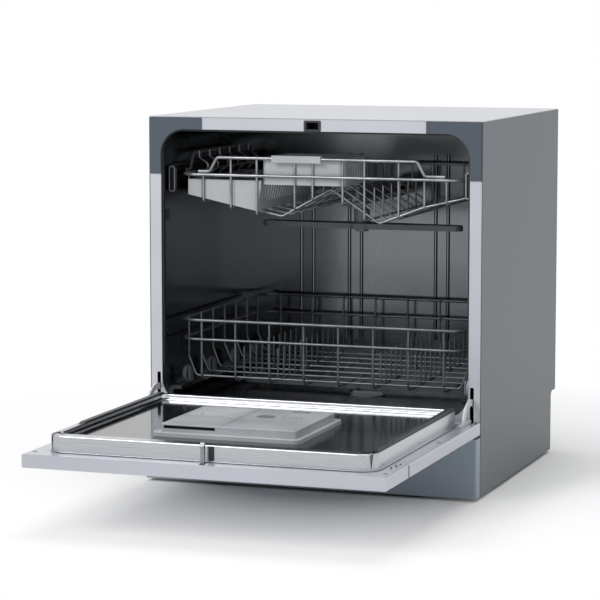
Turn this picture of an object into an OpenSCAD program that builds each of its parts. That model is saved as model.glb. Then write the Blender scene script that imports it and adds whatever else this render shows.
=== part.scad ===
// Countertop dishwasher, eight place settings, door down and baskets home.
// Millimetres. Origin: centre of the base pan's underside. X right, Y to the back, Z up.

/* [Cabinet] */
// Width of the cabinet and of the door
cab_w = 550; // [530:1:580]
// Depth of the cabinet without the door
cab_d = 480; // [470:1:500]
// Height of the cabinet above the base pan's underside
cab_h = 580; // [575:1:600]
// Thickness of the painted sheet
sheet_t = 1.2; // [0.8:0.1:1.6]
// Width of the folded edges of the panels
fold_w = 14; // [10:1:18]
// Height of the recess for the hoses at the back
recess_h = 100; // [90:1:110]
// Depth of the recess for the hoses at the back
recess_d = 30; // [24:1:32]
// Radius of the recess's inner corner
recess_r = 10; // [6:1:14]
// Length of the feet below the base pan
foot_h = 5; // [4:1:8]
// Radius of a foot's pad
foot_r = 16; // [12:1:20]
// Height of the kick panel
kick_h = 93; // [86:0.5:93.5]

/* [Tub] */
// Width of the front frame beside the opening
frame_w = 20; // [18:1:22]
// Height of the tub floor
floor_z = 120; // [118:1:124]
// Radius of the tub's corners
tub_r = 40; // [30:1:45]
// Depth of the tub behind the front plane
tub_d = 440; // [434:1:444]
// Thickness of the stainless sheet
tub_t = 1.2; // [0.8:0.1:1.6]
// Side of the dark corner plates
corner_w = 90; // [80:1:100]
// Thickness of the dark corner plates
corner_t = 1.8; // [1:0.1:2]
// Width of the latch socket
socket_w = 22; // [18:1:26]
// Height of the latch socket
socket_h = 16; // [15:0.5:17]

/* [Door] */
// Thickness of the door panel
door_t = 20; // [18:0.5:21]
// Height of the hinge axis
hinge_z = 109; // [107:0.5:112]
// Radius of the hinge pins
pin_r = 4; // [3:0.5:5]
// Width of the door's inner border beside the liner
border_w = 26; // [26:1:30]
// Height of the liner above the door's border
liner_h = 24.5; // [21:0.5:25]
// Radius of the liner's corners
liner_r = 25; // [18:1:35]
// Length of the control fascia along the door
fascia_l = 103; // [90:1:110]
// Radius of the programme buttons
button_r = 6; // [4:0.5:8]
// Number of programme buttons
button_n = 4; // [4:1:4]
// Middle radius of the crescent hinge arms
arm_r = 39; // [36:1:42]
// Width of the crescent hinge arms
arm_w = 10; // [7:1:12]

/* [Dispenser] */
// Width of the dispenser
disp_w = 228; // [210:1:240]
// Length of the dispenser along the door
disp_l = 200; // [190:1:210]
// Width of the detergent lid
lid_w = 84; // [76:1:88]
// Length of the detergent lid
lid_l = 78; // [72:1:82]
// Radius of the rinse-aid cap
cap_r = 13; // [10:0.5:15]

/* [Baskets] */
// Radius of the basket rims
rim_r = 2.6; // [2.2:0.1:3]
// Radius of the basket wires
wire_r = 1.8; // [1.4:0.1:2.2]
// Radius of the tines
tine_r = 1.5; // [1.2:0.1:1.8]
// Height of the lower basket
lower_h = 98; // [90:1:100]
// Height of the cabinet's top above the upper basket's rim
upper_drop = 94; // [92:1:98]
// Radius of the basket wheels
wheel_r = 14.5; // [13:0.5:16]
// Width of the basket wheels
wheel_w = 7; // [5:0.5:8]

/* [Hidden] */

$fn = 48;
// Small cut overshoot, seat clearance and running clearance
cut = 1;
seat = 0.3;
weld = 0.06;
join = 0.03;
run = 0.1;

half_w = cab_w / 2;
front_y = -cab_d / 2;
back_y = cab_d / 2;
recess_y = back_y - recess_d;

foot_x = half_w - 40;
foot_y = back_y - 50;

// Connections in the recess at the back
hose_z = 55;
inlet_x = half_w - 125;
inlet_r = 13.2;
drain_x = 60;
drain_r = 9.5;
gland_x = 85 - half_w;

// Tub opening, the same section as the tub
open_w = cab_w - 2 * frame_w;
open_top = cab_h - frame_w;
open_h = open_top - floor_z;
open_mid = (open_top + floor_z) / 2;
tub_back_y = front_y + tub_d;
floor_split = floor_z + tub_r;

// Door, in its own frame: the hinge axis is its origin and it lies along -Y
axis_off = 10;
hinge_y = front_y - axis_off;
frame_gap = 2.5;
door_in = axis_off - frame_gap;
door_out = door_in - door_t;
door_heel = -6;
door_end = cab_h - hinge_z;
door_wall = 2.4;
fascia_joint = door_end - fascia_l;
liner_w = cab_w - 2 * border_w;
liner_heel = 22;
liner_end = open_top - hinge_z - 6;
liner_top = door_in + liner_h;
liner_rim = 17;
liner_sink = 6;
field_v = liner_top - liner_sink;
track_t = 3;
track_w = 8;

// Wheels run on one level: the ledges in the tub and the tracks on the door
roll_z = hinge_z + liner_top + track_t;
axle_z = roll_z + seat + wheel_r;

// Hinge arms and their brackets
arm_x = half_w - 16;
arm_t = 3;
bracket_x = arm_x + arm_t + 2.5;
bracket_t = 4;
notch_in = arm_x - 3;
notch_out = bracket_x + bracket_t + 4.5;

// Latch
latch_z = open_top + 8.5;
hook_in = latch_z - 3 - hinge_z;
hook_out = hook_in + 6.5;
hook_tip = liner_top + 6;

// Dispenser on the liner
disp_x = -6;
disp_near = 160;
disp_rise = 9;
lid_x = disp_x - disp_w / 2 + 12;
lid_near = disp_near + 18;
lid_t = 2;
cap_x = disp_x + 20;
cap_w = disp_near + 78;
cup_depth = 20;

// Buttons and display on the fascia
button_w = door_end - 62;
button_pitch = 26;
button_x = 70;
button_travel = 1.2;
grip_w = 160;
grip_near = door_end - 36;
grip_far = door_end - 8;

// Sump, arms and filter
sump_y = -20;
sump_r = 85;
sump_z = 58;
post_r = 8;
arm_z = floor_z + 7;
spray_t = 9;
lower_reach = 195;
upper_reach = 172;
cup_x = 32;
cup_y = sump_y - 32;
cup_r = 25.5;

// Baskets
basket_front = front_y + 37;
basket_back = tub_back_y - 18;
basket_d = basket_back - basket_front;
lower_half = half_w - 35;
lower_foot = half_w - 46;
lower_floor = roll_z + 9;
lower_top = lower_floor + lower_h;
lower_mid = lower_top - 31;
upper_half = half_w - 35.5;
upper_rim = cab_h - upper_drop;
upper_high = upper_rim + 28;
raised = upper_rim + 2 * rim_r + weld;
rim_bend = 30;
wire_bend = 6;
long_drop = 2 * wire_r * 1.16 + weld;
conduit_x = 8;
conduit_z = upper_rim - 50;
conduit_r = 8;
upper_arm_z = upper_rim - 96;
hub_y = basket_front + 190;

// Upper basket floor: a W with a trough on each side of the conduit's ridge
leg_x = upper_half - rim_r - wire_r - weld;
w_floor = [[-leg_x, upper_rim - 33], [-75, upper_rim - 66], [conduit_x, upper_rim - 21], [88, upper_rim - 73],
  [160, upper_rim - 46], [leg_x, upper_rim - 28]];
function w_height(x) = lookup(x, w_floor);

// Side legs: straight at the ends, stepped inwards between the rim and the raised side rail
leg_plain = [[leg_x, upper_rim + wire_r]];
leg_stepped = [[leg_x, upper_rim - 6], [leg_x - 15, upper_rim + 4], [leg_x - 15, upper_rim + 13],
  [leg_x, upper_rim + 22], [leg_x, upper_high + 3 + wire_r]];
function left_leg(leg) = [for (i = [len(leg) - 1:-1:0]) [-leg[i][0], leg[i][1]]];
function on_raised(y) = y > basket_front + 68 && y < basket_back - 62;
upper_long = [36 - leg_x, 83 - leg_x, -108, -44, -14, 36, 72, 128, leg_x - 65, leg_x - 29];
raised_left = 61 - leg_x;
raised_right = leg_x - 75;
upper_cross = [for (i = [0:7]) basket_front + 33 + i * (basket_d - 66) / 7];
long_pitch = (lower_foot - 26) / 3.5;
lower_long = [for (i = [-3.5:1:3.5]) i * long_pitch];
cross_pitch = (basket_d - 2 * rim_bend - 4) / 6;
lower_cross = [for (i = [0:6]) basket_front + rim_bend + 1 + i * cross_pitch];
wheel_y = [for (i = [0:3]) lower_cross[2 * i]];
tine_rows = [for (i = [-2.5, -1.5, 1.5, 2.5]) i * long_pitch];
tine_pitch = (basket_d - 105) / 10;
tine_h = 52;

// Slide rails of the upper basket
rail_z = upper_rim - 7;
rail_h = 40;
rail_in = upper_half + rim_r + 0.9;
rail_w = 5.5;
rail_t = 1.2;

// Tracks on the liner, ending below the rails when the door is up
track_end = rail_z - rail_h / 2 - hinge_z - 7;

// ---------------------------------------------------------------- shared shapes
module round_rect(w, h, r) {
  square([w - 2 * r, h], center = true);
  square([w, h - 2 * r], center = true);
  for (x = [-1, 1], y = [-1, 1]) translate([x * (w / 2 - r), y * (h / 2 - r)]) circle(r);
}

// A drawing in X and Z, pushed from y0 to the back by t
module slab_xz(y0, t) {
  translate([0, y0 + t, 0]) rotate([90, 0, 0]) linear_extrude(t) children();
}

// A drawing in Y and Z, pushed from x0 to the right by t
module slab_yz(x0, t) {
  translate([x0, 0, 0]) rotate([90, 0, 90]) linear_extrude(t) children();
}

// A box between two corners
module block(p, q) {
  translate(p) cube(q - p);
}

module both_sides() {
  children();
  mirror([1, 0, 0]) children();
}

module rod(p, q, r) {
  d = q - p;
  len = norm(d);
  translate(p) rotate([0, acos(d[2] / len), atan2(d[1], d[0])]) cylinder(h = len, r = r, $fn = 16);
}

function unit(v) = v / norm(v);
function turn(a, b) = atan2(a[0] * b[1] - a[1] * b[0], a[0] * b[0] + a[1] * b[1]);
function tangent(pts, i, bend) =
  i == 0 || i == len(pts) - 1 ? 0
  : bend * tan(abs(turn(pts[i] - pts[i - 1], pts[i + 1] - pts[i])) / 2);

// A round bar bent in the XY plane: straight runs joined by bends of one radius
module bent_bar(pts, bend, r) {
  for (i = [0:len(pts) - 2]) {
    dir = unit(pts[i + 1] - pts[i]);
    a = pts[i] + dir * (tangent(pts, i, bend) + join);
    b = pts[i + 1] - dir * (tangent(pts, i + 1, bend) + join);
    rod([a[0], a[1], 0], [b[0], b[1], 0], r);
  }
  for (i = [1:len(pts) - 2]) {
    into = unit(pts[i] - pts[i - 1]);
    phi = turn(into, pts[i + 1] - pts[i]);
    side = phi > 0 ? 1 : -1;
    s = pts[i] - into * tangent(pts, i, bend);
    c = s + side * bend * [-into[1], into[0]];
    start = atan2(s[1] - c[1], s[0] - c[0]);
    translate([c[0], c[1], 0]) rotate([0, 0, phi > 0 ? start : start + phi])
      rotate_extrude(angle = abs(phi), $fn = 32) translate([bend, 0]) circle(r, $fn = 16);
  }
}

// The same bar bent in a plane across the part, or in a plane along it
module bar_xz(y, pts, bend, r) {
  translate([0, y, 0]) rotate([90, 0, 0]) bent_bar(pts, bend, r);
}
module bar_yz(x, pts, bend, r) {
  translate([x, 0, 0]) rotate([90, 0, 90]) bent_bar(pts, bend, r);
}

// A closed rim with round corners, between two corners of its centre line
module rim(x, y0, y1, z, bend, r) {
  for (s = [-1, 1]) rod([s * x, y0 + bend + join, z], [s * x, y1 - bend - join, z], r);
  for (y = [y0, y1]) rod([-x + bend + join, y, z], [x - bend - join, y, z], r);
  for (c = [[-1, y0 + bend, 180], [1, y0 + bend, 270], [1, y1 - bend, 0], [-1, y1 - bend, 90]])
    translate([c[0] * (x - bend), c[1], z]) rotate([0, 0, c[2]])
      rotate_extrude(angle = 90, $fn = 32) translate([bend, 0]) circle(r, $fn = 16);
}

module in_door() {
  translate([0, hinge_y, hinge_z]) children();
}

// A plate lying in the door, from w0 to w1 along it
module door_plate(w, w0, w1, r, v0, v1) {
  translate([0, -(w0 + w1) / 2, v0]) linear_extrude(v1 - v0) round_rect(w, w1 - w0, r);
}

// ---------------------------------------------------------------- cabinet
module side_outline() {
  difference() {
    translate([front_y, 0]) square([cab_d, cab_h - sheet_t - seat]);
    translate([recess_y, -cut]) square([recess_d + cut, recess_h - recess_r + cut]);
    translate([recess_y + recess_r, -cut]) square([recess_d, recess_h + cut]);
    translate([recess_y + recess_r, recess_h - recess_r]) circle(recess_r);
  }
}

module side_panel() {
  slab_yz(half_w - sheet_t, sheet_t) side_outline();
  // folded edge along the top
  block([half_w - fold_w, front_y + fold_w, cab_h - 2 * sheet_t - seat],
        [half_w - sheet_t, back_y - fold_w, cab_h - sheet_t - seat]);
}

module side_panel_right() { color("whitesmoke") side_panel(); }
module side_panel_left() { color("whitesmoke") mirror([1, 0, 0]) side_panel(); }

module top_panel() {
  inset = sheet_t + fold_w + 1;
  color("whitesmoke") {
    translate([0, 0, cab_h - sheet_t]) linear_extrude(sheet_t) round_rect(cab_w, cab_d, 3);
    // folded edges that locate it between the sides and on the back
    both_sides() block([half_w - inset - sheet_t, front_y + 60, cab_h - 11], [half_w - inset, back_y - 20, cab_h - sheet_t]);
    block([-half_w + inset, back_y - 2 * sheet_t - seat, cab_h - 11], [half_w - inset, back_y - sheet_t - seat, cab_h - sheet_t]);
  }
}

// One bent sheet: the back, the roof of the hose recess and the recess's wall
module back_panel() {
  w = cab_w - 2 * sheet_t - 2 * seat;
  color("gainsboro") difference() {
    slab_yz(-w / 2, w) difference() {
      polygon([
        [back_y, recess_h - sheet_t], [back_y, cab_h - sheet_t - seat], [back_y - sheet_t, cab_h - sheet_t - seat],
        [back_y - sheet_t, recess_h], [recess_y - sheet_t, recess_h], [recess_y - sheet_t, 3 + seat],
        [recess_y, 3 + seat], [recess_y, recess_h - sheet_t]]);
    }
    for (x = [-5:5], z = [0:3])
      translate([x * 26, back_y + cut, recess_h + 60 + z * 14]) rotate([90, 0, 0])
        linear_extrude(sheet_t + 2 * cut) round_rect(18, 5, 2.4);
    for (h = [[inlet_x, inlet_r + 0.8], [drain_x, drain_r + 0.8], [gland_x, 8.3]])
      translate([h[0], recess_y + cut, hose_z]) rotate([90, 0, 0]) cylinder(h = sheet_t + 2 * cut, r = h[1]);
  }
}

module base_pan() {
  w = cab_w - 2 * sheet_t - 2 * seat;
  d = recess_y - sheet_t - seat - front_y;
  y0 = front_y;
  color("dimgray") difference() {
    union() {
      block([-w / 2, y0, 1.5], [w / 2, y0 + d, 22]);
      translate([0, y0 + d / 2, 0]) linear_extrude(3) round_rect(2 * foot_x - 2 * foot_r - 8, d - 12, 12);
    }
    block([-w / 2 + 3, y0 + 3, 4.5], [w / 2 - 3, y0 + d - 3, 22 + cut]);
    for (x = [-1, 1], y = [-1, 1]) translate([x * foot_x, y * foot_y, -cut]) cylinder(h = 6, r = 4.1);
  }
}

module feet() {
  color("black") for (x = [-1, 1], y = [-1, 1]) translate([x * foot_x, y * foot_y, 0]) {
    translate([0, 0, -foot_h]) cylinder(h = foot_h + 1.4, r1 = foot_r - 2, r2 = foot_r);
    cylinder(h = 9, r = 4);
  }
}

module kick_panel() {
  color("silver") difference() {
    translate([0, front_y - axis_off - 1.25, 0]) linear_extrude(kick_h)
      round_rect(cab_w, door_t + 2.5, 3);
    translate([0, 0, -cut]) block([-half_w + 2.4, front_y - 20, 0], [half_w - 2.4, front_y + 5, kick_h + cut - 2.4]);
  }
}

module front_frame() {
  w = cab_w - 2 * sheet_t - 2 * seat;
  color("lightgray") difference() {
    slab_xz(front_y, sheet_t) difference() {
      translate([-w / 2, kick_h + 1]) square([w, cab_h - kick_h - 1 - sheet_t - seat]);
      translate([0, open_mid]) round_rect(open_w, open_h, tub_r);
      for (s = [-1, 1]) translate([s * (arm_x + arm_t / 2), hinge_z + 28]) round_rect(arm_t + 3, 66, 2.5);
      translate([0, latch_z]) round_rect(socket_w + 2, socket_h - 2, 1.5);
    }
  }
}

module corner_plates() {
  color("darkslategray") both_sides() slab_xz(front_y - corner_t, corner_t - 0.05) difference() {
    translate([half_w - corner_w, cab_h - sheet_t - seat - corner_w]) square([corner_w - sheet_t - seat, corner_w]);
    translate([0, open_mid]) round_rect(open_w, open_h, tub_r);
  }
}

module latch_socket() {
  color("silver") translate([0, 0, latch_z]) difference() {
    union() {
      slab_xz(front_y - 1, 0.95) round_rect(socket_w + 6, socket_h + 1, 2);
      slab_xz(front_y - 0.5, 40) round_rect(socket_w + 1.4, socket_h - 2.6, 1.2);
    }
    slab_xz(front_y - 5, 5 + 38) round_rect(socket_w - 2, socket_h - 5, 1);
  }
}

// ---------------------------------------------------------------- tub
module tub_ring(t) {
  difference() {
    round_rect(open_w + 2 * t, open_h + 2 * t, tub_r + t);
    round_rect(open_w, open_h, tub_r);
  }
}

tub_y0 = front_y + sheet_t;
module tub_shell() {
  color("slategray") slab_xz(tub_y0, tub_back_y - tub_y0) difference() {
    translate([0, open_mid]) tub_ring(tub_t);
    translate([-half_w, 0]) square([cab_w, floor_split]);
  }
}

module tub_floor() {
  color("slategray") difference() {
    slab_xz(tub_y0, tub_back_y - tub_y0) intersection() {
      translate([0, open_mid]) tub_ring(tub_t);
      translate([-half_w, 0]) square([cab_w, floor_split - 0.02]);
    }
    translate([0, sump_y, floor_z - 10]) cylinder(h = 20, r = sump_r);
  }
}

// The back wall, with upright pressed ribs and the hole for the docking nozzle
module tub_back() {
  color("slategray") difference() {
    union() {
      slab_xz(tub_back_y + 0.02, tub_t) translate([0, open_mid])
        round_rect(open_w + 2 * tub_t, open_h + 2 * tub_t, tub_r + tub_t);
      for (x = [-172, -150, -84, -62, 72, 94, 182])
        translate([x, tub_back_y, floor_z + 60]) cylinder(h = open_h - 120, r = 3.2);
    }
    block([-half_w, tub_back_y + 2 * tub_t, 0], [half_w, tub_back_y + 20, cab_h]);
    translate([conduit_x, tub_back_y + 10, conduit_z]) rotate([90, 0, 0]) cylinder(h = 20, r = conduit_r + 1);
  }
}

// Black bellows gasket inside the opening, on the sides and the top
module door_seal() {
  color("black") slab_xz(front_y + 3, 7) difference() {
    translate([0, open_mid]) round_rect(open_w - 0.1, open_h - 0.1, tub_r);
    translate([0, open_mid - 4]) round_rect(open_w - 6, open_h + 2, tub_r - 6);
    translate([-half_w, 0]) square([cab_w, floor_z + 60]);
  }
}

module wheel_ledges() {
  color("gray") slab_xz(liner_clear, tub_back_y - 18 - liner_clear) intersection() {
    translate([0, open_mid]) round_rect(open_w - 0.2, open_h - 0.2, tub_r - 0.1);
    for (s = [-1, 1]) translate([s * open_w / 2, roll_z - 3]) square([40, 6], center = true);
  }
}
liner_clear = front_y + frame_gap + liner_h + 5;

// Channels on the tub walls that hold the upper basket's rails
module rail_guides() {
  lip = 2.4;
  color("dimgray") both_sides() difference() {
    block([rail_in + 1.5, basket_front + 4, rail_z - rail_h / 2 - lip - seat],
          [open_w / 2 - 0.1, tub_back_y - 12, rail_z + rail_h / 2 + lip + seat]);
    block([rail_in - cut, basket_front, rail_z - rail_h / 2 - seat],
          [rail_in + rail_w + seat, tub_back_y, rail_z + rail_h / 2 + seat]);
  }
  // clip on each wall behind the opening
  color("dimgray") both_sides() difference() {
    block([open_w / 2 - 4, front_y + 12, open_mid + 74], [open_w / 2 - 0.1, front_y + 26, open_mid + 90]);
    block([open_w / 2 - 2.8, front_y + 11, open_mid + 77], [open_w / 2 - 1.4, front_y + 27, open_mid + 87]);
  }
}

module hinge_brackets() {
  color("silver") both_sides() in_door() {
    difference() {
      slab_yz(bracket_x, bracket_t) {
        circle(pin_r + 4);
        translate([0, -pin_r - 4]) square([axis_off - 0.05, 2 * (pin_r + 4)]);
      }
      translate([bracket_x - cut, 0, 0]) rotate([0, 90, 0]) cylinder(h = bracket_t + 2 * cut, r = pin_r + run / 2);
    }
  }
}

// ---------------------------------------------------------------- water parts
// Wall with its flange, floor, and the stepped post that carries the filter plate and the arm
module sump() {
  top = floor_z - tub_t - 0.05;
  base = sump_z + 3;
  color("dimgray") translate([0, sump_y, 0]) {
    difference() {
      union() {
        translate([0, 0, base + join]) cylinder(h = top - base - join, r = sump_r - 4);
        translate([0, 0, top - 4]) cylinder(h = 4, r = sump_r + 6);
      }
      translate([0, 0, sump_z]) cylinder(h = 80, r = sump_r - 7);
    }
    translate([0, 0, sump_z]) cylinder(h = 3, r = sump_r - 4);
    translate([0, 0, base + join]) cylinder(h = floor_z - 1 - base - join, r = post_r + 4);
    translate([0, 0, floor_z - 1 + join]) cylinder(h = arm_z + spray_t + 3 - join - floor_z, r = post_r);
  }
}

module filter_plate() {
  color("lightsteelblue") translate([0, sump_y, floor_z - tub_t]) difference() {
    cylinder(h = 1.2, r = sump_r - seat);
    translate([0, 0, -cut]) cylinder(h = 4, r = post_r + 4 + seat);
    translate([cup_x, cup_y - sump_y, -cut]) cylinder(h = 4, r = cup_r + seat);
    for (ring = [0:3], k = [0:13 + ring * 4]) {
      a = k * 360 / (14 + ring * 4);
      p = [cos(a), sin(a)] * (26 + ring * 14);
      if (norm(p - [cup_x, cup_y - sump_y]) > cup_r + 7) translate([p[0], p[1], -cut]) cylinder(h = 4, r = 2, $fn = 16);
    }
  }
}

module filter_cup() {
  color("lightsteelblue") translate([cup_x, cup_y, 0]) difference() {
    union() {
      translate([0, 0, sump_z + 5]) cylinder(h = floor_z - sump_z - 5, r = cup_r);
      translate([0, 0, floor_z + seat]) cylinder(h = 1.6, r = cup_r + 3);
      block([-cup_r, -3, floor_z + 1.5], [cup_r, 3, floor_z + 5.5]);
    }
    translate([0, 0, sump_z + 7]) cylinder(h = floor_z - sump_z - 8.5, r = cup_r - 2);
    for (a = [0:45:135]) rotate([0, 0, a]) block([-40, -3, sump_z + 14], [40, 3, floor_z - 12]);
  }
}

// A flat spray arm with round ends, tapered outwards, and its row of nozzles
module spray_arm(reach) {
  difference() {
    union() {
      linear_extrude(spray_t) {
        circle(24);
        polygon([[-reach + 12, -12], [0, -20], [reach - 12, -12], [reach - 12, 12], [0, 20], [-reach + 12, 12]]);
        for (s = [-1, 1]) translate([s * (reach - 12), 0]) circle(12);
      }
      translate([0, 0, spray_t - 0.5]) cylinder(h = 2, r = 17);
    }
    translate([0, 0, -cut]) cylinder(h = spray_t + 4, r = post_r + run);
    for (s = [-1, 1], k = [0:4]) translate([s * (42 + k * (reach - 60) / 5), s * (k % 2 == 0 ? 5 : -5), spray_t - 3])
      cylinder(h = 5, r = 1.6, $fn = 16);
  }
}

module lower_spray_arm() { color("silver") translate([0, sump_y, arm_z]) spray_arm(lower_reach); }

module wash_pump() {
  color("dimgray") translate([-150, 0, 48]) {
    translate([0, 40, 0]) rotate([-90, 0, 0]) cylinder(h = 95, r = 32);
    translate([0, 20, 0]) rotate([-90, 0, 0]) cylinder(h = 20, r = 40);
    rod([39, 30, 24], [75, 14, 24], 10);
    block([-22, 50, -48 + 4.8], [22, 125, -28]);
  }
}

module drain_pump() {
  color("dimgray") translate([150, -20, 40]) {
    rotate([-90, 0, 0]) cylinder(h = 60, r = 22);
    translate([0, -14, 0]) rotate([-90, 0, 0]) cylinder(h = 14, r = 28);
    rod([sump_r - 2.4 - 150, -7, 26], [-20, -7, 18], 8);
    block([-14, 5, -40 + 4.8], [14, 50, -18]);
  }
}

// Pipe from the sump, up behind the tub to the docking nozzle of the upper arm
module feed_pipe() {
  path = [[sump_y + sump_r - 4 + seat, floor_z - 14], [tub_back_y + 17, floor_z - 14],
          [tub_back_y + 17, conduit_z], [basket_back + 2.2, conduit_z]];
  color("gray") bar_yz(conduit_x, path, 14, conduit_r - 0.5);
}

module inlet_valve() {
  color("gray") difference() {
    union() {
      block([inlet_x - 20, recess_y - sheet_t - 36, hose_z - 20], [inlet_x + 20, recess_y - sheet_t - seat, hose_z + 20]);
      translate([inlet_x, recess_y - sheet_t - 1, hose_z]) rotate([-90, 0, 0]) cylinder(h = 2.8, r = inlet_r + 0.4);
      translate([inlet_x, recess_y - sheet_t - 1, hose_z]) rotate([-90, 0, 0]) cylinder(h = 18.8, r = inlet_r);
      block([inlet_x - 14, recess_y - sheet_t - 34, 4.8], [inlet_x + 14, recess_y - sheet_t - 6, hose_z - 19]);
    }
    translate([inlet_x, recess_y - 14, hose_z]) rotate([-90, 0, 0]) cylinder(h = 60, r = 9);
  }
}

module drain_spigot() {
  color("gray") translate([drain_x, recess_y - sheet_t, hose_z]) rotate([-90, 0, 0]) difference() {
    union() {
      translate([0, 0, -12]) cylinder(h = 38, r = drain_r);
      translate([0, 0, -12]) cylinder(h = 13.8, r = drain_r + 0.4);
      translate([0, 0, -3.2]) cylinder(h = 3, r = drain_r + 4.5);
    }
    translate([0, 0, -20]) cylinder(h = 60, r = 7);
  }
}

module cord_gland() {
  color("black") translate([gland_x, recess_y - sheet_t, hose_z]) rotate([-90, 0, 0]) difference() {
    union() {
      translate([0, 0, -5]) cylinder(h = 14, r = 8);
      translate([0, 0, sheet_t + 0.1]) cylinder(h = 3, r = 11);
      translate([0, 0, -3.3]) cylinder(h = 3.1, r = 11);
    }
    translate([0, 0, -20]) cylinder(h = 60, r = 4);
  }
}

// ---------------------------------------------------------------- door
module hinge_notches() {
  both_sides() block([notch_in, -14, door_out - cut], [notch_out, 20, door_in + cut]);
}

module door_profile() {
  translate([0, (door_in + door_out) / 2]) round_rect(cab_w, door_t, 2.5);
}

module door_panel() {
  color("whitesmoke") in_door() difference() {
    slab_xz(-fascia_joint, fascia_joint - door_heel) door_profile();
    block([-half_w + sheet_t, -fascia_joint - cut, door_out + sheet_t], [half_w - sheet_t, -door_heel - sheet_t, door_in - sheet_t]);
    block([-liner_w / 2 + 8, -fascia_joint - cut, 0], [liner_w / 2 - 8, -liner_heel - 8, door_in + cut]);
    hinge_notches();
  }
}

function button_at(i) = button_x + i * button_pitch;

module control_fascia() {
  color("whitesmoke") in_door() difference() {
    union() {
      difference() {
        slab_xz(-door_end, fascia_l - 0.4) door_profile();
        block([-half_w + door_wall, -door_end + door_wall, door_out + door_wall],
              [half_w - door_wall, -fascia_joint + cut, door_in - door_wall]);
      }
      block([-grip_w / 2 - 2, -grip_far - 2, door_out + 1], [grip_w / 2 + 2, -grip_near + 2, door_out + 12]);
      both_sides() block([4.4, -hook_out - 3, door_out + 11], [8, -hook_in + 9, door_in - 1]);
    }
    block([-grip_w / 2, -grip_far, door_out - cut], [grip_w / 2, -grip_near, door_out + 10]);
    block([-liner_w / 2 + 8, -liner_end + 8, 0], [liner_w / 2 - 8, -fascia_joint + cut, door_in + cut]);
    block([-4, -hook_out - 4, door_out + 12.5], [4, -hook_in + 6, door_in + cut]);
    translate([-20, -hook_in - 1, 3]) rotate([0, 90, 0]) cylinder(h = 40, r = 1.6);
    for (i = [0:button_n - 1]) translate([button_at(i), -button_w, door_out - cut]) cylinder(h = 8, r = button_r + seat);
    block([-100, -button_w - 11, door_out - cut], [-20, -button_w + 11, door_out + 4]);
  }
}

module display_window() {
  color("black") in_door() difference() {
    block([-100 + 0.2, -button_w - 10.8, door_out - 0.2], [-20 - 0.2, -button_w + 10.8, door_out + door_wall + 2]);
    block([-97, -button_w - 8, door_out + 1.6], [-23, -button_w + 8, door_out + 10]);
  }
}

module button(i) {
  color("silver") in_door() translate([button_at(i), -button_w, 0]) {
    translate([0, 0, door_out - 1.4]) cylinder(h = 9, r = button_r);
    translate([0, 0, door_out + door_wall + 0.1]) cylinder(h = 1.2, r = button_r + 1.6);
  }
}

// An outline of the liner, drawn in by a margin
module liner_plate(margin, v0, v1) {
  door_plate(liner_w - 2 * margin, liner_heel + margin, liner_end - margin, max(liner_r - margin, 8), v0, v1);
}

// The raised stainless liner: one pressed sheet with a rim round a sunk field
module door_liner() {
  t = tub_t;
  color("lightsteelblue") in_door() difference() {
    liner_plate(0, door_in + weld, liner_top);
    liner_plate(t, door_in - cut, field_v - t);
    liner_plate(liner_rim, field_v, liner_top + cut);
    difference() {
      liner_plate(t, field_v - t - cut, liner_top - t);
      liner_plate(liner_rim - t, field_v - 3 * t - cut, liner_top);
    }
    // pressed groove round the dispenser
    difference() {
      translate([disp_x, 0, 0]) door_plate(disp_w + 36, disp_near - 18, disp_near + disp_l + 18, 20, field_v - t / 2, field_v + cut);
      translate([disp_x, 0, 0]) door_plate(disp_w + 24, disp_near - 12, disp_near + disp_l + 12, 16, field_v - t, field_v + 2 * cut);
    }
    translate([disp_x, 0, 0]) door_plate(disp_w - 16, disp_near + 8, disp_near + disp_l - 8, 8, 0, liner_top + cut);
  }
}

module wheel_tracks() {
  color("dimgray") in_door() both_sides() slab_yz(wheel_in - 0.3, track_w) polygon([
    [-liner_heel - 4, liner_top + weld], [-liner_heel - 10, liner_top + track_t],
    [-track_end + 12, liner_top + track_t], [-track_end, liner_top + weld]]);
}

module hinge_arms() {
  color("white") in_door() both_sides() {
    slab_yz(arm_x, arm_t) {
      circle(pin_r + 3.5);
      polygon([[-11, 0], [-11, door_in + 4], [2, door_in + 4], [4, 0]]);
      polygon([[-54, door_in + seat], [-54, door_in + 3], [-50, door_in + 4.8], [0, door_in + 4.8], [0, door_in + seat]]);
      intersection() {
        difference() {
          circle(arm_r + arm_w / 2, $fn = 96);
          circle(arm_r - arm_w / 2, $fn = 96);
        }
        polygon([[0, 0], [-80, 20], [-80, 80], [80, 80], [80, 35]]);
      }
    }
    block([liner_w / 2 + 3, -52, door_in + seat], [arm_x + 1, -16, door_in + 1.8]);
    translate([arm_x + 1, 0, 0]) rotate([0, 90, 0]) cylinder(h = bracket_x + bracket_t + 1.5 - arm_x, r = pin_r);
  }
}

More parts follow.
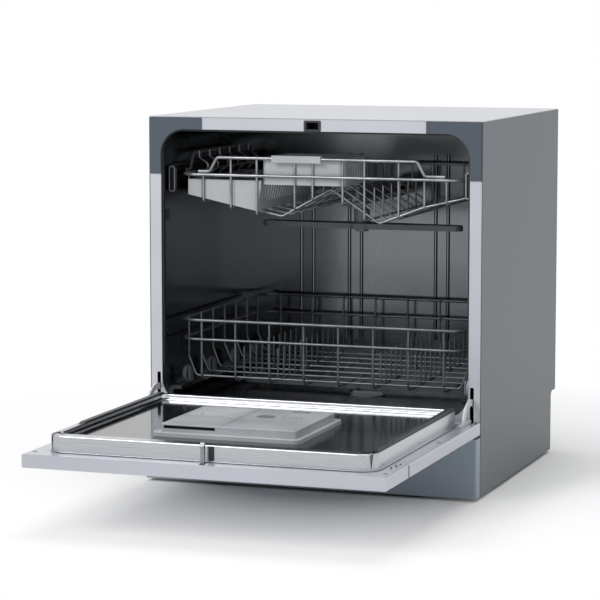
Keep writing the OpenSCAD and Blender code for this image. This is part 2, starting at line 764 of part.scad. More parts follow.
// Dispenser: base plate, raised housing with a sloping apron, and the detergent cup
module dispenser_body() {
  far = disp_near + disp_l;
  v = liner_top + weld;
  color("silver") in_door() difference() {
    union() {
      translate([disp_x, 0, 0]) door_plate(disp_w, disp_near, far, 12, field_v + weld, v + 3);
      translate([disp_x, 0, 0]) door_plate(disp_w - 16.6, disp_near + 8.3, far - 8.3, 8, v - cup_depth, v + 1);
      slab_yz(disp_x - disp_w / 2 + 8, disp_w - 16) polygon([
        [-disp_near - 8, v + 2], [-disp_near - 12, v + disp_rise], [-far + 62, v + disp_rise], [-far + 8, v + 2]]);
    }
    block([lid_x - 0.4, -lid_near - lid_l - 0.4, v + disp_rise - lid_t - 0.6], [lid_x + lid_w + 0.4, -lid_near + 8, v + disp_rise + cut]);
    block([lid_x + 4, -lid_near - lid_l + 4, v - cup_depth + 2], [lid_x + lid_w - 4, -lid_near - 6, v + disp_rise + cut]);
    translate([lid_x - 3, -lid_near + 3, v + disp_rise - lid_t / 2 - 1]) rotate([0, 90, 0]) cylinder(h = lid_w + 6, r = 1.1);
    translate([cap_x, -cap_w, v + disp_rise - 4]) cylinder(h = 10, r = cap_r + 0.4);
    translate([cap_x, -cap_w, v - cup_depth + 2]) cylinder(h = 40, r = cap_r - 3);
  }
}

// Flap over the detergent cup, turning on its pin at the door's heel side
module detergent_lid() {
  v = liner_top + weld + disp_rise;
  color("silver") in_door() {
    block([lid_x, -lid_near - lid_l, v - lid_t], [lid_x + lid_w, -lid_near + 1.6, v]);
    translate([lid_x - 2.6, -lid_near + 3, v - lid_t / 2 - 1]) rotate([0, 90, 0]) cylinder(h = lid_w + 5.2, r = 1);
    block([lid_x + 2, -lid_near, v - lid_t], [lid_x + lid_w - 2, -lid_near + 3, v - lid_t + 0.9]);
  }
}

module rinse_cap() {
  v = liner_top + weld + disp_rise;
  color("darkgray") in_door() translate([cap_x, -cap_w, 0]) {
    translate([0, 0, v - 3.6]) cylinder(h = 4.2, r = cap_r);
    translate([0, 0, v - 12]) cylinder(h = 9, r = cap_r - 3 - run);
    block([-cap_r + 2, -1.6, v + 0.5], [cap_r - 2, 1.6, v + 3]);
  }
}

module latch_hook() {
  color("silver") in_door() {
    slab_yz(-3, 6) {
      translate([-hook_in - 1, 3]) circle(2.8);
      polygon([[-hook_in, 3], [-hook_in, hook_tip], [-hook_in - 3, hook_tip], [-hook_out, hook_tip - 5],
               [-hook_out, hook_tip - 8], [-hook_in - 4, hook_tip - 8], [-hook_in - 4, 3]]);
    }
    translate([-7.6, -hook_in - 1, 3]) rotate([0, 90, 0]) cylinder(h = 15.2, r = 1.5);
  }
}

// ---------------------------------------------------------------- upper basket
upper_yf = basket_front + rim_r + wire_r + weld;
upper_yb = basket_back - rim_r - wire_r - weld;

module upper_rims() {
  color("gainsboro") {
    rim(upper_half, basket_front, basket_back, upper_rim, rim_bend, rim_r);
    bar_xz(basket_front, [[raised_left - 31, raised], [raised_left - 12, raised], [raised_left, upper_high],
      [raised_right, upper_high], [raised_right + 12, raised], [raised_right + 45, raised]], 8, rim_r);
    both_sides() bar_yz(upper_half, [[basket_front + 34, raised], [basket_front + 50, raised],
      [basket_front + 66, upper_high + 3], [basket_back - 60, upper_high + 3], [basket_back - 40, raised], [basket_back - 32, raised]], 8, rim_r);
  }
}

module upper_floor_wires() {
  color("gainsboro") for (y = upper_cross) {
    leg = on_raised(y) ? leg_stepped : leg_plain;
    bar_xz(y, concat(left_leg(leg), w_floor, leg), wire_bend, wire_r);
  }
}

function upper_top(x) = x > raised_left && x < raised_right ? upper_high + wire_r : upper_rim + wire_r;
module upper_wall_wires() {
  color("gainsboro") {
    for (x = upper_long) {
      z = w_height(x) - long_drop;
      bar_yz(x, [[upper_yf, upper_top(x)], [upper_yf, z], [upper_yb, z], [upper_yb, upper_rim + wire_r]], wire_bend, wire_r);
    }
    for (x = [-44, 72], k = [x < 0 ? 2 : 0:6]) let (y = (upper_cross[k] + upper_cross[k + 1]) / 2)
      rod([x, y, w_height(x) - long_drop + wire_r + weld], [x, y, w_height(x) + 44], tine_r);
  }
}

// The basket's slide rails: channels with an end cap, carried in the guides
module upper_rails() {
  color("darkgray") both_sides() {
    difference() {
      block([rail_in, basket_front - 6, rail_z - rail_h / 2], [rail_in + rail_w, basket_back - 4, rail_z + rail_h / 2]);
      block([rail_in - cut, basket_front + 4, rail_z - rail_h / 2 + 3 * rail_t],
            [rail_in + rail_w - rail_t, basket_back, rail_z + rail_h / 2 - 3 * rail_t]);
      for (k = [0:16]) translate([rail_in - cut, basket_front + 22 + k * 21, rail_z]) rotate([0, 90, 0])
        linear_extrude(rail_w + 2 * cut) round_rect(14, 8, 3);
    }
    translate([0, 0, rail_z]) slab_xz(basket_front - 13, 7 - weld) translate([rail_in + 3, 0]) round_rect(10, rail_h, 2);
    for (y = [basket_front + 60, basket_back - 60])
      block([upper_half + 1, y, rail_z - 4], [rail_in - weld, y + 16, rail_z + 3.6]);
  }
}

module upper_conduit() {
  color("darkgray") difference() {
    union() {
      translate([conduit_x, basket_back + 1.5, conduit_z]) rotate([90, 0, 0]) cylinder(h = basket_back - hub_y + 16, r = conduit_r);
      translate([conduit_x, hub_y, upper_arm_z - 2]) cylinder(h = conduit_z - upper_arm_z + 2, r = post_r);
      translate([conduit_x, hub_y, upper_arm_z + spray_t + 2.3]) cylinder(h = 20, r = post_r + 5);
      translate([conduit_x, hub_y, upper_arm_z - 4.5]) cylinder(h = 4, r = post_r + 3);
      // rib that hangs it under the ridge of the basket floor
      block([conduit_x - 3, hub_y - 24, conduit_z], [conduit_x + 3, basket_back - 12, upper_rim - 25.2]);
    }
    translate([conduit_x, basket_back + 5, conduit_z]) rotate([90, 0, 0]) cylinder(h = basket_back - hub_y + 5, r = conduit_r - 2);
  }
}

module upper_spray_arm() { color("silver") translate([conduit_x, hub_y, upper_arm_z]) spray_arm(upper_reach); }

// Slotted tray that hangs from the raised front rail
module cutlery_tray() {
  x0 = -101; x1 = 39; z0 = upper_rim - 14; z1 = upper_high + 1;
  y0 = upper_yf + wire_r + seat; y1 = y0 + 118;
  cx = (x0 + x1) / 2; cy = (y0 + y1) / 2;
  color("gainsboro") {
    difference() {
      translate([cx, cy, z0]) linear_extrude(z1 - z0) round_rect(x1 - x0, y1 - y0, 12);
      translate([cx, cy, z0 + 2]) linear_extrude(z1 - z0) round_rect(x1 - x0 - 4, y1 - y0 - 4, 10);
      for (x = [x0 + 18:9:x1 - 16]) block([x, cy, z0 + 8], [x + 4, y1 + cut, z1 - 8]);
      for (y = [y0 + 18:9:y1 - 16]) block([x0 - cut, y, z0 + 8], [x1 + cut, y + 4, z1 - 8]);
      for (x = [x0 + 14:14:x1 - 14], y = [y0 + 14:14:y1 - 14]) block([x, y, z0 - cut], [x + 7, y + 7, z0 + 3]);
    }
    for (x = [x0 + 45.5, x0 + 94.5]) difference() {
      block([x - 0.8, y0 + 1.5, z0 + 1], [x + 0.8, y1 - 1.5, z1 - 10]);
      for (y = [y0 + 14:10:y1 - 18]) translate([x - 2, y + 3, z1 - 10]) rotate([0, 90, 0]) cylinder(h = 4, r = 3);
    }
    block([-80, basket_front - rim_r - 2, upper_high + rim_r + seat], [2, y0 + 1, upper_high + rim_r + 2.3]);
    block([-80, basket_front - rim_r - 2, upper_high - 6], [2, basket_front - rim_r - seat, upper_high + rim_r + 1]);
    block([-80, y0 - 0.1, z1 - 3], [2, y0 + 1.9, upper_high + rim_r + 2.3]);
  }
}

// Wedge tray that lies in the left trough
module side_tray() {
  x0 = 9 - leg_x; x1 = -110; y0 = upper_yf + wire_r + 0.6; y1 = y0 + 250;
  lift = wire_r * 1.1 + seat;
  top = upper_rim - 8;
  color("gainsboro") difference() {
    slab_xz(y0, y1 - y0) polygon([[x0, w_height(x0) + lift], [x1, w_height(x1) + lift], [x1 + 8, top - 12], [x1 + 8, top], [x0, top]]);
    slab_xz(y0 + 2, y1 - y0 - 4) polygon([[x0 + 2, w_height(x0 + 2) + lift + 2], [x1 - 1, w_height(x1) + lift + 2], [x1 + 6, top - 12], [x1 + 6, top + cut], [x0 + 2, top + cut]]);
    for (y = [y0 + 12:12:y1 - 12]) block([x1 - 4, y, top - 34], [x1 + 20, y + 5, top - 8]);
    for (x = [x0 + 10:12:x1 - 6]) block([x, y1 - 5, top - 20], [x + 5, y1 + cut, top - 6]);
    for (x = [x0 + 24, x1 - 36]) translate([x, y0, w_height(x) + lift - cut]) cylinder(h = 60, r = 1.1, $fn = 16);
  }
}

// ---------------------------------------------------------------- lower basket
low_cross_z = lower_floor + 2 * wire_r + weld;
low_yf = basket_front + rim_r + wire_r + weld;
low_yb = basket_back - rim_r - wire_r - weld;
low_x = lower_half - rim_r - wire_r - weld;

module lower_rims() {
  color("dimgray") {
    rim(lower_half, basket_front, basket_back, lower_top, rim_bend, rim_r);
    rim(lower_half, basket_front, basket_back, lower_mid, rim_bend, rim_r - 0.4);
  }
}

module lower_wires() {
  color("dimgray") {
    for (x = lower_long)
      bar_yz(x, [[low_yf, lower_top + wire_r], [low_yf, lower_floor], [low_yb, lower_floor], [low_yb, lower_top + wire_r]], 14, wire_r);
    for (y = lower_cross)
      bar_xz(y, [[-low_x, lower_top + wire_r], [-low_x, lower_floor + 34], [6 - lower_foot, low_cross_z],
                 [lower_foot - 6, low_cross_z], [low_x, lower_floor + 34], [low_x, lower_top + wire_r]], 8, wire_r);
    for (x = tine_rows, k = [0:10])
      rod([x, lower_cross[0] + 14 + k * tine_pitch, lower_floor + wire_r + weld],
          [x, lower_cross[0] + 14 + k * tine_pitch, lower_floor + tine_h], tine_r);
  }
}

axle_r = 2.5;
axle_in = lower_foot + wire_r + 0.5;
wheel_in = axle_in + 5;

// Wheel brackets outside the lower wires, each with its axle
module wheel_axles() {
  color("gray") both_sides() for (y = wheel_y) translate([0, y, axle_z]) {
    slab_yz(axle_in, 2.4) round_rect(16, 24, 3);
    translate([axle_in + 1, 0, 0]) rotate([0, 90, 0]) cylinder(h = wheel_in + wheel_w + 1.4 - axle_in, r = axle_r);
    translate([wheel_in + wheel_w + seat, 0, 0]) rotate([0, 90, 0]) cylinder(h = 1.6, r = axle_r + 1.5);
    translate([axle_in + 2, 0, 0]) rotate([0, 90, 0]) cylinder(h = wheel_in - seat - axle_in - 2, r = axle_r + 2);
  }
}

module basket_wheel(s, i) {
  color("gray") mirror([s < 0 ? 1 : 0, 0, 0]) translate([wheel_in, wheel_y[i], axle_z]) rotate([0, 90, 0]) difference() {
    cylinder(h = wheel_w, r = wheel_r);
    translate([0, 0, -cut]) cylinder(h = wheel_w + 2 * cut, r = axle_r + run);
    translate([0, 0, wheel_w - 2]) difference() {
      cylinder(h = 4, r = wheel_r - 2.5);
      translate([0, 0, -cut]) cylinder(h = 6, r = axle_r + 2.5);
    }
    for (a = [0:60:300]) rotate([0, 0, a]) translate([wheel_r - 6, 0, -cut]) cylinder(h = wheel_w + 2 * cut, r = 2);
  }
}

side_panel_left();
side_panel_right();
top_panel();
back_panel();
base_pan();
kick_panel();
feet();
front_frame();
corner_plates();
tub_shell();
tub_back();
tub_floor();
door_seal();
latch_socket();
rail_guides();
wheel_ledges();
hinge_brackets();
sump();
wash_pump();
drain_pump();
feed_pipe();
inlet_valve();
drain_spigot();
cord_gland();
filter_plate();
filter_cup();
lower_spray_arm();
door_panel();
control_fascia();
door_liner();
wheel_tracks();
hinge_arms();
dispenser_body();
detergent_lid();
rinse_cap();
latch_hook();
display_window();
button(3);  // power_button
button(0);  // programme_button_1
button(1);  // programme_button_2
button(2);  // programme_button_3
upper_rims();
upper_floor_wires();
upper_wall_wires();
upper_rails();
upper_conduit();
upper_spray_arm();
cutlery_tray();
side_tray();
lower_rims();
lower_wires();
wheel_axles();
basket_wheel(-1, 0);  // wheel_left_1
basket_wheel(-1, 1);  // wheel_left_2
basket_wheel(-1, 2);  // wheel_left_3
basket_wheel(-1, 3);  // wheel_left_4
basket_wheel(1, 0);  // wheel_right_1
basket_wheel(1, 1);  // wheel_right_2
basket_wheel(1, 2);  // wheel_right_3
basket_wheel(1, 3);  // wheel_right_4
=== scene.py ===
"""Dresses a countertop dishwasher: finishes, pressed and moulded pieces, light and camera."""

from __future__ import annotations

import logging
import math
from dataclasses import dataclass, field
from enum import Enum
from typing import Any, Callable, Dict, List, Optional, Sequence, Tuple

import bmesh
import bpy
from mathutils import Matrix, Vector

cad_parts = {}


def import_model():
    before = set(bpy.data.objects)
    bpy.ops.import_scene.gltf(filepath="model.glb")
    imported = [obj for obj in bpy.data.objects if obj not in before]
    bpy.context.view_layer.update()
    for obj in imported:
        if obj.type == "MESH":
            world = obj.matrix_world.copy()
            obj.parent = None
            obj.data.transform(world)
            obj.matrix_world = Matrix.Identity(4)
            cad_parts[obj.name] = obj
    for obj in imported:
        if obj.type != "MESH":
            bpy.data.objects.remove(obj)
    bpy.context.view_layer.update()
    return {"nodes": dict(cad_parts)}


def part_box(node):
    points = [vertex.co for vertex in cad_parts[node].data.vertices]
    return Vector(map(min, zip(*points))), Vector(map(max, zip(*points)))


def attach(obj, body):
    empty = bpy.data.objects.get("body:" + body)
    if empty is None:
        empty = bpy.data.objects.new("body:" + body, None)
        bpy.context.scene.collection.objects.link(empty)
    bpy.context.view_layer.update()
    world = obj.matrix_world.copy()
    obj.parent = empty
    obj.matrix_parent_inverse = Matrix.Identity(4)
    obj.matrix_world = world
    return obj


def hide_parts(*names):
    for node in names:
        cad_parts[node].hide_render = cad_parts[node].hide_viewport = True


log = logging.getLogger("dishwasher")

# one millimetre in metres
MM = 0.001
# millimetres within which two places count as the same
NEAR = 0.1
# millimetres of room where a place is only roughly known
ROOM = 1.0
# millimetres by which a cutter stands out of what it cuts
CLEAR = 5.0
# how much of a normal or an edge points along an axis: nearly none, half, a face, an edge, a sheet
ACROSS = 0.3
SLOPED = 0.5
FLAT = 0.9
STRAIGHT = 0.99
LEVEL = 0.999
# the highest value of a display colour
FULL = 255

Triple = Tuple[float, float, float]
Colour = Tuple[int, int, int]
Linear = Tuple[float, float, float, float]
Stops = Sequence[Tuple[float, float]]
Box = Tuple[Triple, Triple]
Test = Callable[[Vector, Vector], bool]

WHITE: Linear = (1.0, 1.0, 1.0, 1.0)


def span(node: str) -> Box:
    """Give a frame node's lowest and highest corners in millimetres."""
    low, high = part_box(node)
    return (low.x / MM, low.y / MM, low.z / MM), (high.x / MM, high.y / MM, high.z / MM)


def tone(red: int, green: int, blue: int) -> Linear:
    """Turn a display colour into the linear one that shaders use.

    Args:
        red: red on the display, 0 to 255.
        green: green on the display, 0 to 255.
        blue: blue on the display, 0 to 255.

    Returns:
        The linear colour with an alpha of 1.
    """
    # the standard display curve: a short straight foot and a power above it
    linear = []
    for channel in (red, green, blue):
        share = channel / FULL
        linear.append(share / 12.92 if share <= 0.04045 else ((share + 0.055) / 1.055) ** 2.4)
    return (linear[0], linear[1], linear[2], 1.0)


def faded(colour: Colour, share: float) -> Linear:
    """Give a display colour at a share of its brightness, as shaders use it."""
    return tone(*(int(channel * share) for channel in colour))


# ---------------------------------------------------------------- shader arithmetic
class Signal:
    """A shader socket that takes part in arithmetic: each step adds a Math node."""

    def __init__(self, recipe: "Recipe", socket: Optional[bpy.types.NodeSocket]) -> None:
        """Wrap one output socket of a recipe."""
        self.recipe = recipe
        self.socket = socket

    def _step(self, operation: str, first: Any, second: Any) -> "Signal":
        """Add one Math node with two inputs."""
        return self.recipe.node("ShaderNodeMath", {"operation": operation}, {0: first, 1: second})

    def __add__(self, other: Any) -> "Signal":
        """Add a number or a signal."""
        return self._step("ADD", self, other)

    def __sub__(self, other: Any) -> "Signal":
        """Take a number or a signal away."""
        return self._step("SUBTRACT", self, other)

    def __rsub__(self, other: Any) -> "Signal":
        """Take this signal away from a number."""
        return self._step("SUBTRACT", other, self)

    def __mul__(self, other: Any) -> "Signal":
        """Multiply by a number or a signal."""
        return self._step("MULTIPLY", self, other)

    def capped(self) -> "Signal":
        """Keep the signal between 0 and 1."""
        return self.recipe.node("ShaderNodeClamp", {}, {0: self})

    __radd__ = __add__
    __rmul__ = __mul__


class Recipe:
    """One material's or world's node tree, built node by node."""

    def __init__(self, name: str) -> None:
        """Start an empty material.

        Args:
            name: the material's name.
        """
        self.material: Optional[bpy.types.Material] = bpy.data.materials.new(name)
        self.material.use_nodes = True
        self.tree = self.material.node_tree
        self.tree.nodes.clear()

    @classmethod
    def on(cls, tree: bpy.types.NodeTree) -> "Recipe":
        """Start a recipe on a tree that is there already, emptied first.

        Args:
            tree: the node tree.

        Returns:
            The recipe, which has no material of its own.
        """
        recipe = cls.__new__(cls)
        recipe.material = None
        recipe.tree = tree
        tree.nodes.clear()
        return recipe

    def node(self, kind: str, settings: Dict[str, Any], sockets: Dict[Any, Any],
             output: Any = 0) -> Signal:
        """Add a node with its settings first and then its sockets.

        Args:
            kind: the node's type.
            settings: the node's own settings; "stops" gives a ramp's stops as (place, grey).
            sockets: value or signal for each input socket, by name or number.
            output: name or number of the output that the signal reads.

        Returns:
            The signal from that output.
        """
        made = self.tree.nodes.new(kind)
        for key, value in settings.items():
            if key == "stops":
                self._stops(made.color_ramp, value)
            else:
                setattr(made, key, value)
        for key, value in sockets.items():
            if isinstance(value, Signal):
                self.tree.links.new(value.socket, made.inputs[key])
            else:
                made.inputs[key].default_value = value
        return Signal(self, made.outputs[output] if made.outputs else None)

    @staticmethod
    def _stops(ramp: bpy.types.ColorRamp, stops: Stops) -> None:
        """Give a ramp grey stops.

        Args:
            ramp: the ramp.
            stops: each stop's place and grey.
        """
        for index, (place, grey) in enumerate(stops):
            stop = ramp.elements[index] if index < 2 else ramp.elements.new(place)
            stop.position = place
            stop.color = (grey, grey, grey, 1.0)

    def place(self, stretch: Triple = (1.0, 1.0, 1.0)) -> Signal:
        """Give object coordinates, with the pattern scaled along X, Y and Z."""
        spot = self.node("ShaderNodeTexCoord", {}, {}, "Object")
        return self.node("ShaderNodeMapping", {}, {"Vector": spot, "Scale": stretch})

    def noise(self, spot: Signal, scale: float, detail: float = 3.0, rough: float = 0.5) -> Signal:
        """Give a noise pattern around 0.5, with octaves of detail and their roughness."""
        sockets = {"Vector": spot, "Scale": scale, "Detail": detail, "Roughness": rough}
        return self.node("ShaderNodeTexNoise", {}, sockets)

    def ramp(self, signal: Signal, stops: Stops) -> Signal:
        """Reshape a signal by grey stops."""
        return self.node("ShaderNodeValToRGB", {"stops": stops}, {"Fac": signal})

    def blend(self, share: Signal, first: Any, second: Any) -> Signal:
        """Mix two colours: the first at a share of 0, the second at a share of 1."""
        return self.node("ShaderNodeMix", {"data_type": "RGBA"}, {0: share, 6: first, 7: second}, 2)

    def bump(self, height: Signal, distance: float, strength: float = 1.0) -> Signal:
        """Turn a height, in metres at a signal of 1, into a normal of some strength."""
        sockets = {"Height": height, "Distance": distance, "Strength": strength}
        return self.node("ShaderNodeBump", {}, sockets)

    def shader(self, **sockets: Any) -> Signal:
        """Add the main shader, its inputs named with underscores for spaces."""
        named = {key.replace("_", " "): value for key, value in sockets.items()}
        return self.node("ShaderNodeBsdfPrincipled", {}, named)

    def finish(self, shader: Signal) -> bpy.types.Material:
        """Close the recipe with a shader, and give the material."""
        self.node("ShaderNodeOutputMaterial", {}, {"Surface": shader})
        return self.material

    def surface(self, **sockets: Any) -> bpy.types.Material:
        """Close the recipe with the main shader, its inputs named with underscores for spaces."""
        return self.finish(self.shader(**sockets))


# ---------------------------------------------------------------- finishes
class Grain(Enum):
    """Direction in which sheet steel is brushed."""

    ALONG_X = (9.0, 900.0, 900.0)
    ALONG_Y = (900.0, 9.0, 900.0)
    ALONG_Z = (900.0, 900.0, 9.0)


@dataclass(frozen=True)
class SilverPaint:
    """Powder-coated silver sheet: a fine metal flake under a satin coat."""

    name: str
    colour: Colour
    metal: float = 0.55
    roughness: float = 0.36
    coat: float = 0.2
    depth: float = 0.93
    unevenness: float = 0.1
    peel: float = 0.00006

    def make(self) -> bpy.types.Material:
        """Build the material.

        Returns:
            The finished material.
        """
        recipe = Recipe(self.name)
        spot = recipe.place()
        flake = recipe.noise(spot, scale=2600.0, detail=2.0)
        cloud = recipe.noise(spot, scale=5.0, detail=4.0)
        peel = recipe.noise(spot, scale=650.0, detail=2.0)
        share = recipe.ramp(flake * 0.6 + cloud * 0.4, [(0.38, 0.0), (0.62, 1.0)])
        return recipe.surface(
            Base_Color=recipe.blend(share, faded(self.colour, self.depth), tone(*self.colour)),
            Metallic=self.metal,
            Roughness=cloud * self.unevenness + (self.roughness - self.unevenness / 2),
            Coat_Weight=self.coat,
            Coat_Roughness=0.18,
            Normal=recipe.bump(peel, self.peel, strength=0.6),
        )


@dataclass(frozen=True)
class BrushedSteel:
    """Stainless sheet with fine brushing one way, and faint water marks."""

    name: str
    colour: Colour
    grain: Grain
    roughness: float = 0.26
    brush: float = 0.00005
    spread: float = 1.0
    depth: float = 0.88

    def make(self) -> bpy.types.Material:
        """Build the material.

        Returns:
            The finished material.
        """
        recipe = Recipe(self.name)
        brushed = recipe.noise(recipe.place(self.grain.value), scale=2.2, detail=4.0, rough=0.6)
        spot = recipe.place()
        marks = recipe.ramp(recipe.noise(spot, scale=7.0, detail=5.0), [(0.35, 0.0), (0.75, 1.0)])
        share = recipe.ramp(brushed, [(0.3, 0.0), (0.7, 1.0)])
        uneven = brushed * (0.16 * self.spread) + marks * (0.07 * self.spread)
        return recipe.surface(
            Base_Color=recipe.blend(share, faded(self.colour, self.depth), tone(*self.colour)),
            Metallic=1.0,
            Roughness=uneven + (self.roughness - 0.08 * self.spread),
            Normal=recipe.bump(brushed, self.brush, strength=0.5),
        )


@dataclass(frozen=True)
class Moulding:
    """Injection-moulded plastic with a fine spark-eroded skin."""

    name: str
    colour: Colour
    roughness: float = 0.42
    skin: float = 0.00008
    coat: float = 0.0
    depth: float = 0.9
    unevenness: float = 0.12

    def make(self) -> bpy.types.Material:
        """Build the material.

        Returns:
            The finished material.
        """
        recipe = Recipe(self.name)
        spot = recipe.place()
        skin = recipe.noise(spot, scale=1500.0, detail=3.0)
        cloud = recipe.noise(spot, scale=16.0, detail=4.0)
        share = recipe.ramp(cloud, [(0.3, 0.0), (0.7, 1.0)])
        return recipe.surface(
            Base_Color=recipe.blend(share, faded(self.colour, self.depth), tone(*self.colour)),
            Roughness=cloud * self.unevenness + (self.roughness - self.unevenness / 2),
            Coat_Weight=self.coat,
            Coat_Roughness=0.12,
            Normal=recipe.bump(skin, self.skin, strength=0.5),
        )


@dataclass(frozen=True)
class CoatedWire:
    """Steel wire under a dipped nylon coat, a little uneven in thickness."""

    name: str
    colour: Colour
    roughness: float = 0.2
    depth: float = 0.82
    drip: float = 0.00003

    def make(self) -> bpy.types.Material:
        """Build the material.

        Returns:
            The finished material.
        """
        recipe = Recipe(self.name)
        spot = recipe.place()
        drip = recipe.noise(spot, scale=60.0, detail=2.0)
        tint = recipe.noise(spot, scale=40.0, detail=2.0)
        share = recipe.ramp(tint, [(0.35, 0.0), (0.65, 1.0)])
        return recipe.surface(
            Base_Color=recipe.blend(share, faded(self.colour, self.depth), tone(*self.colour)),
            Metallic=0.6,
            Roughness=drip * 0.1 + self.roughness,
            Coat_Weight=0.3,
            Coat_Roughness=0.1,
            Normal=recipe.bump(drip, self.drip, strength=0.4),
        )


@dataclass(frozen=True)
class Rubber:
    """Black rubber with fine ribs and a dusty bloom."""

    name: str
    colour: Colour = (18, 19, 21)
    dust: Colour = (38, 40, 43)
    ribs: float = 1400.0
    rise: float = 0.0003

    def make(self) -> bpy.types.Material:
        """Build the material.

        Returns:
            The finished material.
        """
        recipe = Recipe(self.name)
        spot = recipe.place()
        bloom = recipe.ramp(recipe.noise(spot, scale=60.0, detail=5.0), [(0.4, 0.0), (0.8, 1.0)])
        sockets = {"Vector": spot, "Scale": self.ribs / 6.3}
        rib = recipe.node("ShaderNodeTexWave", {"bands_direction": "Y"}, sockets)
        height = rib * 0.7 + recipe.noise(spot, scale=900.0) * 0.3
        return recipe.surface(
            Base_Color=recipe.blend(bloom, tone(*self.colour), tone(*self.dust)),
            Roughness=bloom * 0.15 + 0.55,
            Normal=recipe.bump(height, self.rise, strength=0.5),
        )


@dataclass(frozen=True)
class SmokedWindow:
    """Dark glossy window over the display."""

    name: str
    colour: Colour = (10, 11, 13)
    smeared: Colour = (18, 20, 23)

    def make(self) -> bpy.types.Material:
        """Build the material.

        Returns:
            The finished material.
        """
        recipe = Recipe(self.name)
        smear = recipe.noise(recipe.place((1.0, 3.0, 1.0)), scale=30.0, detail=4.0)
        return recipe.surface(
            Base_Color=recipe.blend(smear, tone(*self.colour), tone(*self.smeared)),
            Roughness=smear * 0.08 + 0.06,
            Coat_Weight=1.0,
            Coat_Roughness=0.03,
        )


class Finish(Enum):
    """Every finish on the machine."""

    # the side panels wear a darker copy of the cabinet's silver: painted shade on the sides turned
    # from the lamps
    SIDE = SilverPaint("side_silver", (100, 108, 114), 0.4, 0.44, 0.0)
    TOP = SilverPaint("top_silver", (184, 187, 193), 0.35, 0.36, 0.05)
    DOOR = SilverPaint("door_silver", (188, 191, 199), 0.45, 0.3)
    # the kick panel wears a darker copy of the silver: painted shade of the door above it
    PLINTH = SilverPaint("plinth_silver", (138, 149, 160), 0.4, 0.42)
    FRAME = SilverPaint("frame_silver", (200, 203, 210), 0.45, 0.32)
    # the corner plates wear dark blue-grey: painted reflection in the frame's upper corners
    CORNER = SilverPaint("corner_grey", (78, 87, 98), 0.5, 0.34)
    TUB = BrushedSteel("tub_steel", (122, 125, 129), Grain.ALONG_Z, 0.15)
    TUB_FLOOR = BrushedSteel("tub_floor_steel", (116, 119, 123), Grain.ALONG_X, 0.16)
    LINER = BrushedSteel("liner_steel", (192, 194, 198), Grain.ALONG_X, 0.22, 0.00001, 0.6)
    # the liner's sunk field wears a much darker copy of the liner steel: painted dark reflection
    MIRROR = BrushedSteel("liner_field_steel", (84, 86, 90), Grain.ALONG_X, 0.09, 0.000004, 0.35)
    ZINC = BrushedSteel("zinc_sheet", (150, 154, 158), Grain.ALONG_X, 0.42)
    BRACKET = BrushedSteel("bracket_steel", (150, 152, 155), Grain.ALONG_Y, 0.34)
    RAIL = BrushedSteel("rail_steel", (44, 46, 50), Grain.ALONG_Y, 0.42)
    HOUSING = Moulding("housing_plastic", (172, 176, 180), 0.4)
    PALE = Moulding("pale_plastic", (186, 189, 192))
    MIDDLE = Moulding("grey_plastic", (128, 132, 136))
    SMOKY = Moulding("smoky_plastic", (98, 101, 105), 0.36)
    DARK = Moulding("dark_plastic", (44, 47, 51), 0.5)
    TRACK = Moulding("track_plastic", (52, 55, 58), 0.45)
    BRIGHT = Moulding("bright_plastic", (208, 210, 213), 0.34, 0.00004, 0.3)
    WIRE = CoatedWire("basket_wire", (158, 160, 164))
    # the lower basket wears a darker copy of the basket wire: painted shade deep in the tub
    DIM_WIRE = CoatedWire("lower_basket_wire", (112, 115, 119), 0.3)
    RUBBER = Rubber("black_rubber")
    WINDOW = SmokedWindow("smoked_window")


class Wardrobe:
    """Makes each finish once and puts it on pieces and frame nodes."""

    def __init__(self) -> None:
        """Start with nothing made."""
        self.made: Dict[Finish, bpy.types.Material] = {}

    def get(self, finish: Finish) -> bpy.types.Material:
        """Give a finish's material, made on first use.

        Args:
            finish: the finish.

        Returns:
            Its material.
        """
        if finish not in self.made:
            self.made[finish] = finish.value.make()
        return self.made[finish]

    def dress(self, target: bpy.types.Object, finish: Finish) -> None:
        """Give one object one finish all over."""
        target.data.materials.clear()
        target.data.materials.append(self.get(finish))

    def patch(self, target: bpy.types.Object, finish: Finish, test: Test) -> None:
        """Give some faces of an object a second finish.

        Args:
            target: the object.
            finish: the second finish.
            test: tells by a face's centre (mm) and normal whether it wears it.
        """
        target.data.materials.append(self.get(finish))
        for face in target.data.polygons:
            if test(face.center / MM, face.normal):
                face.material_index = 1


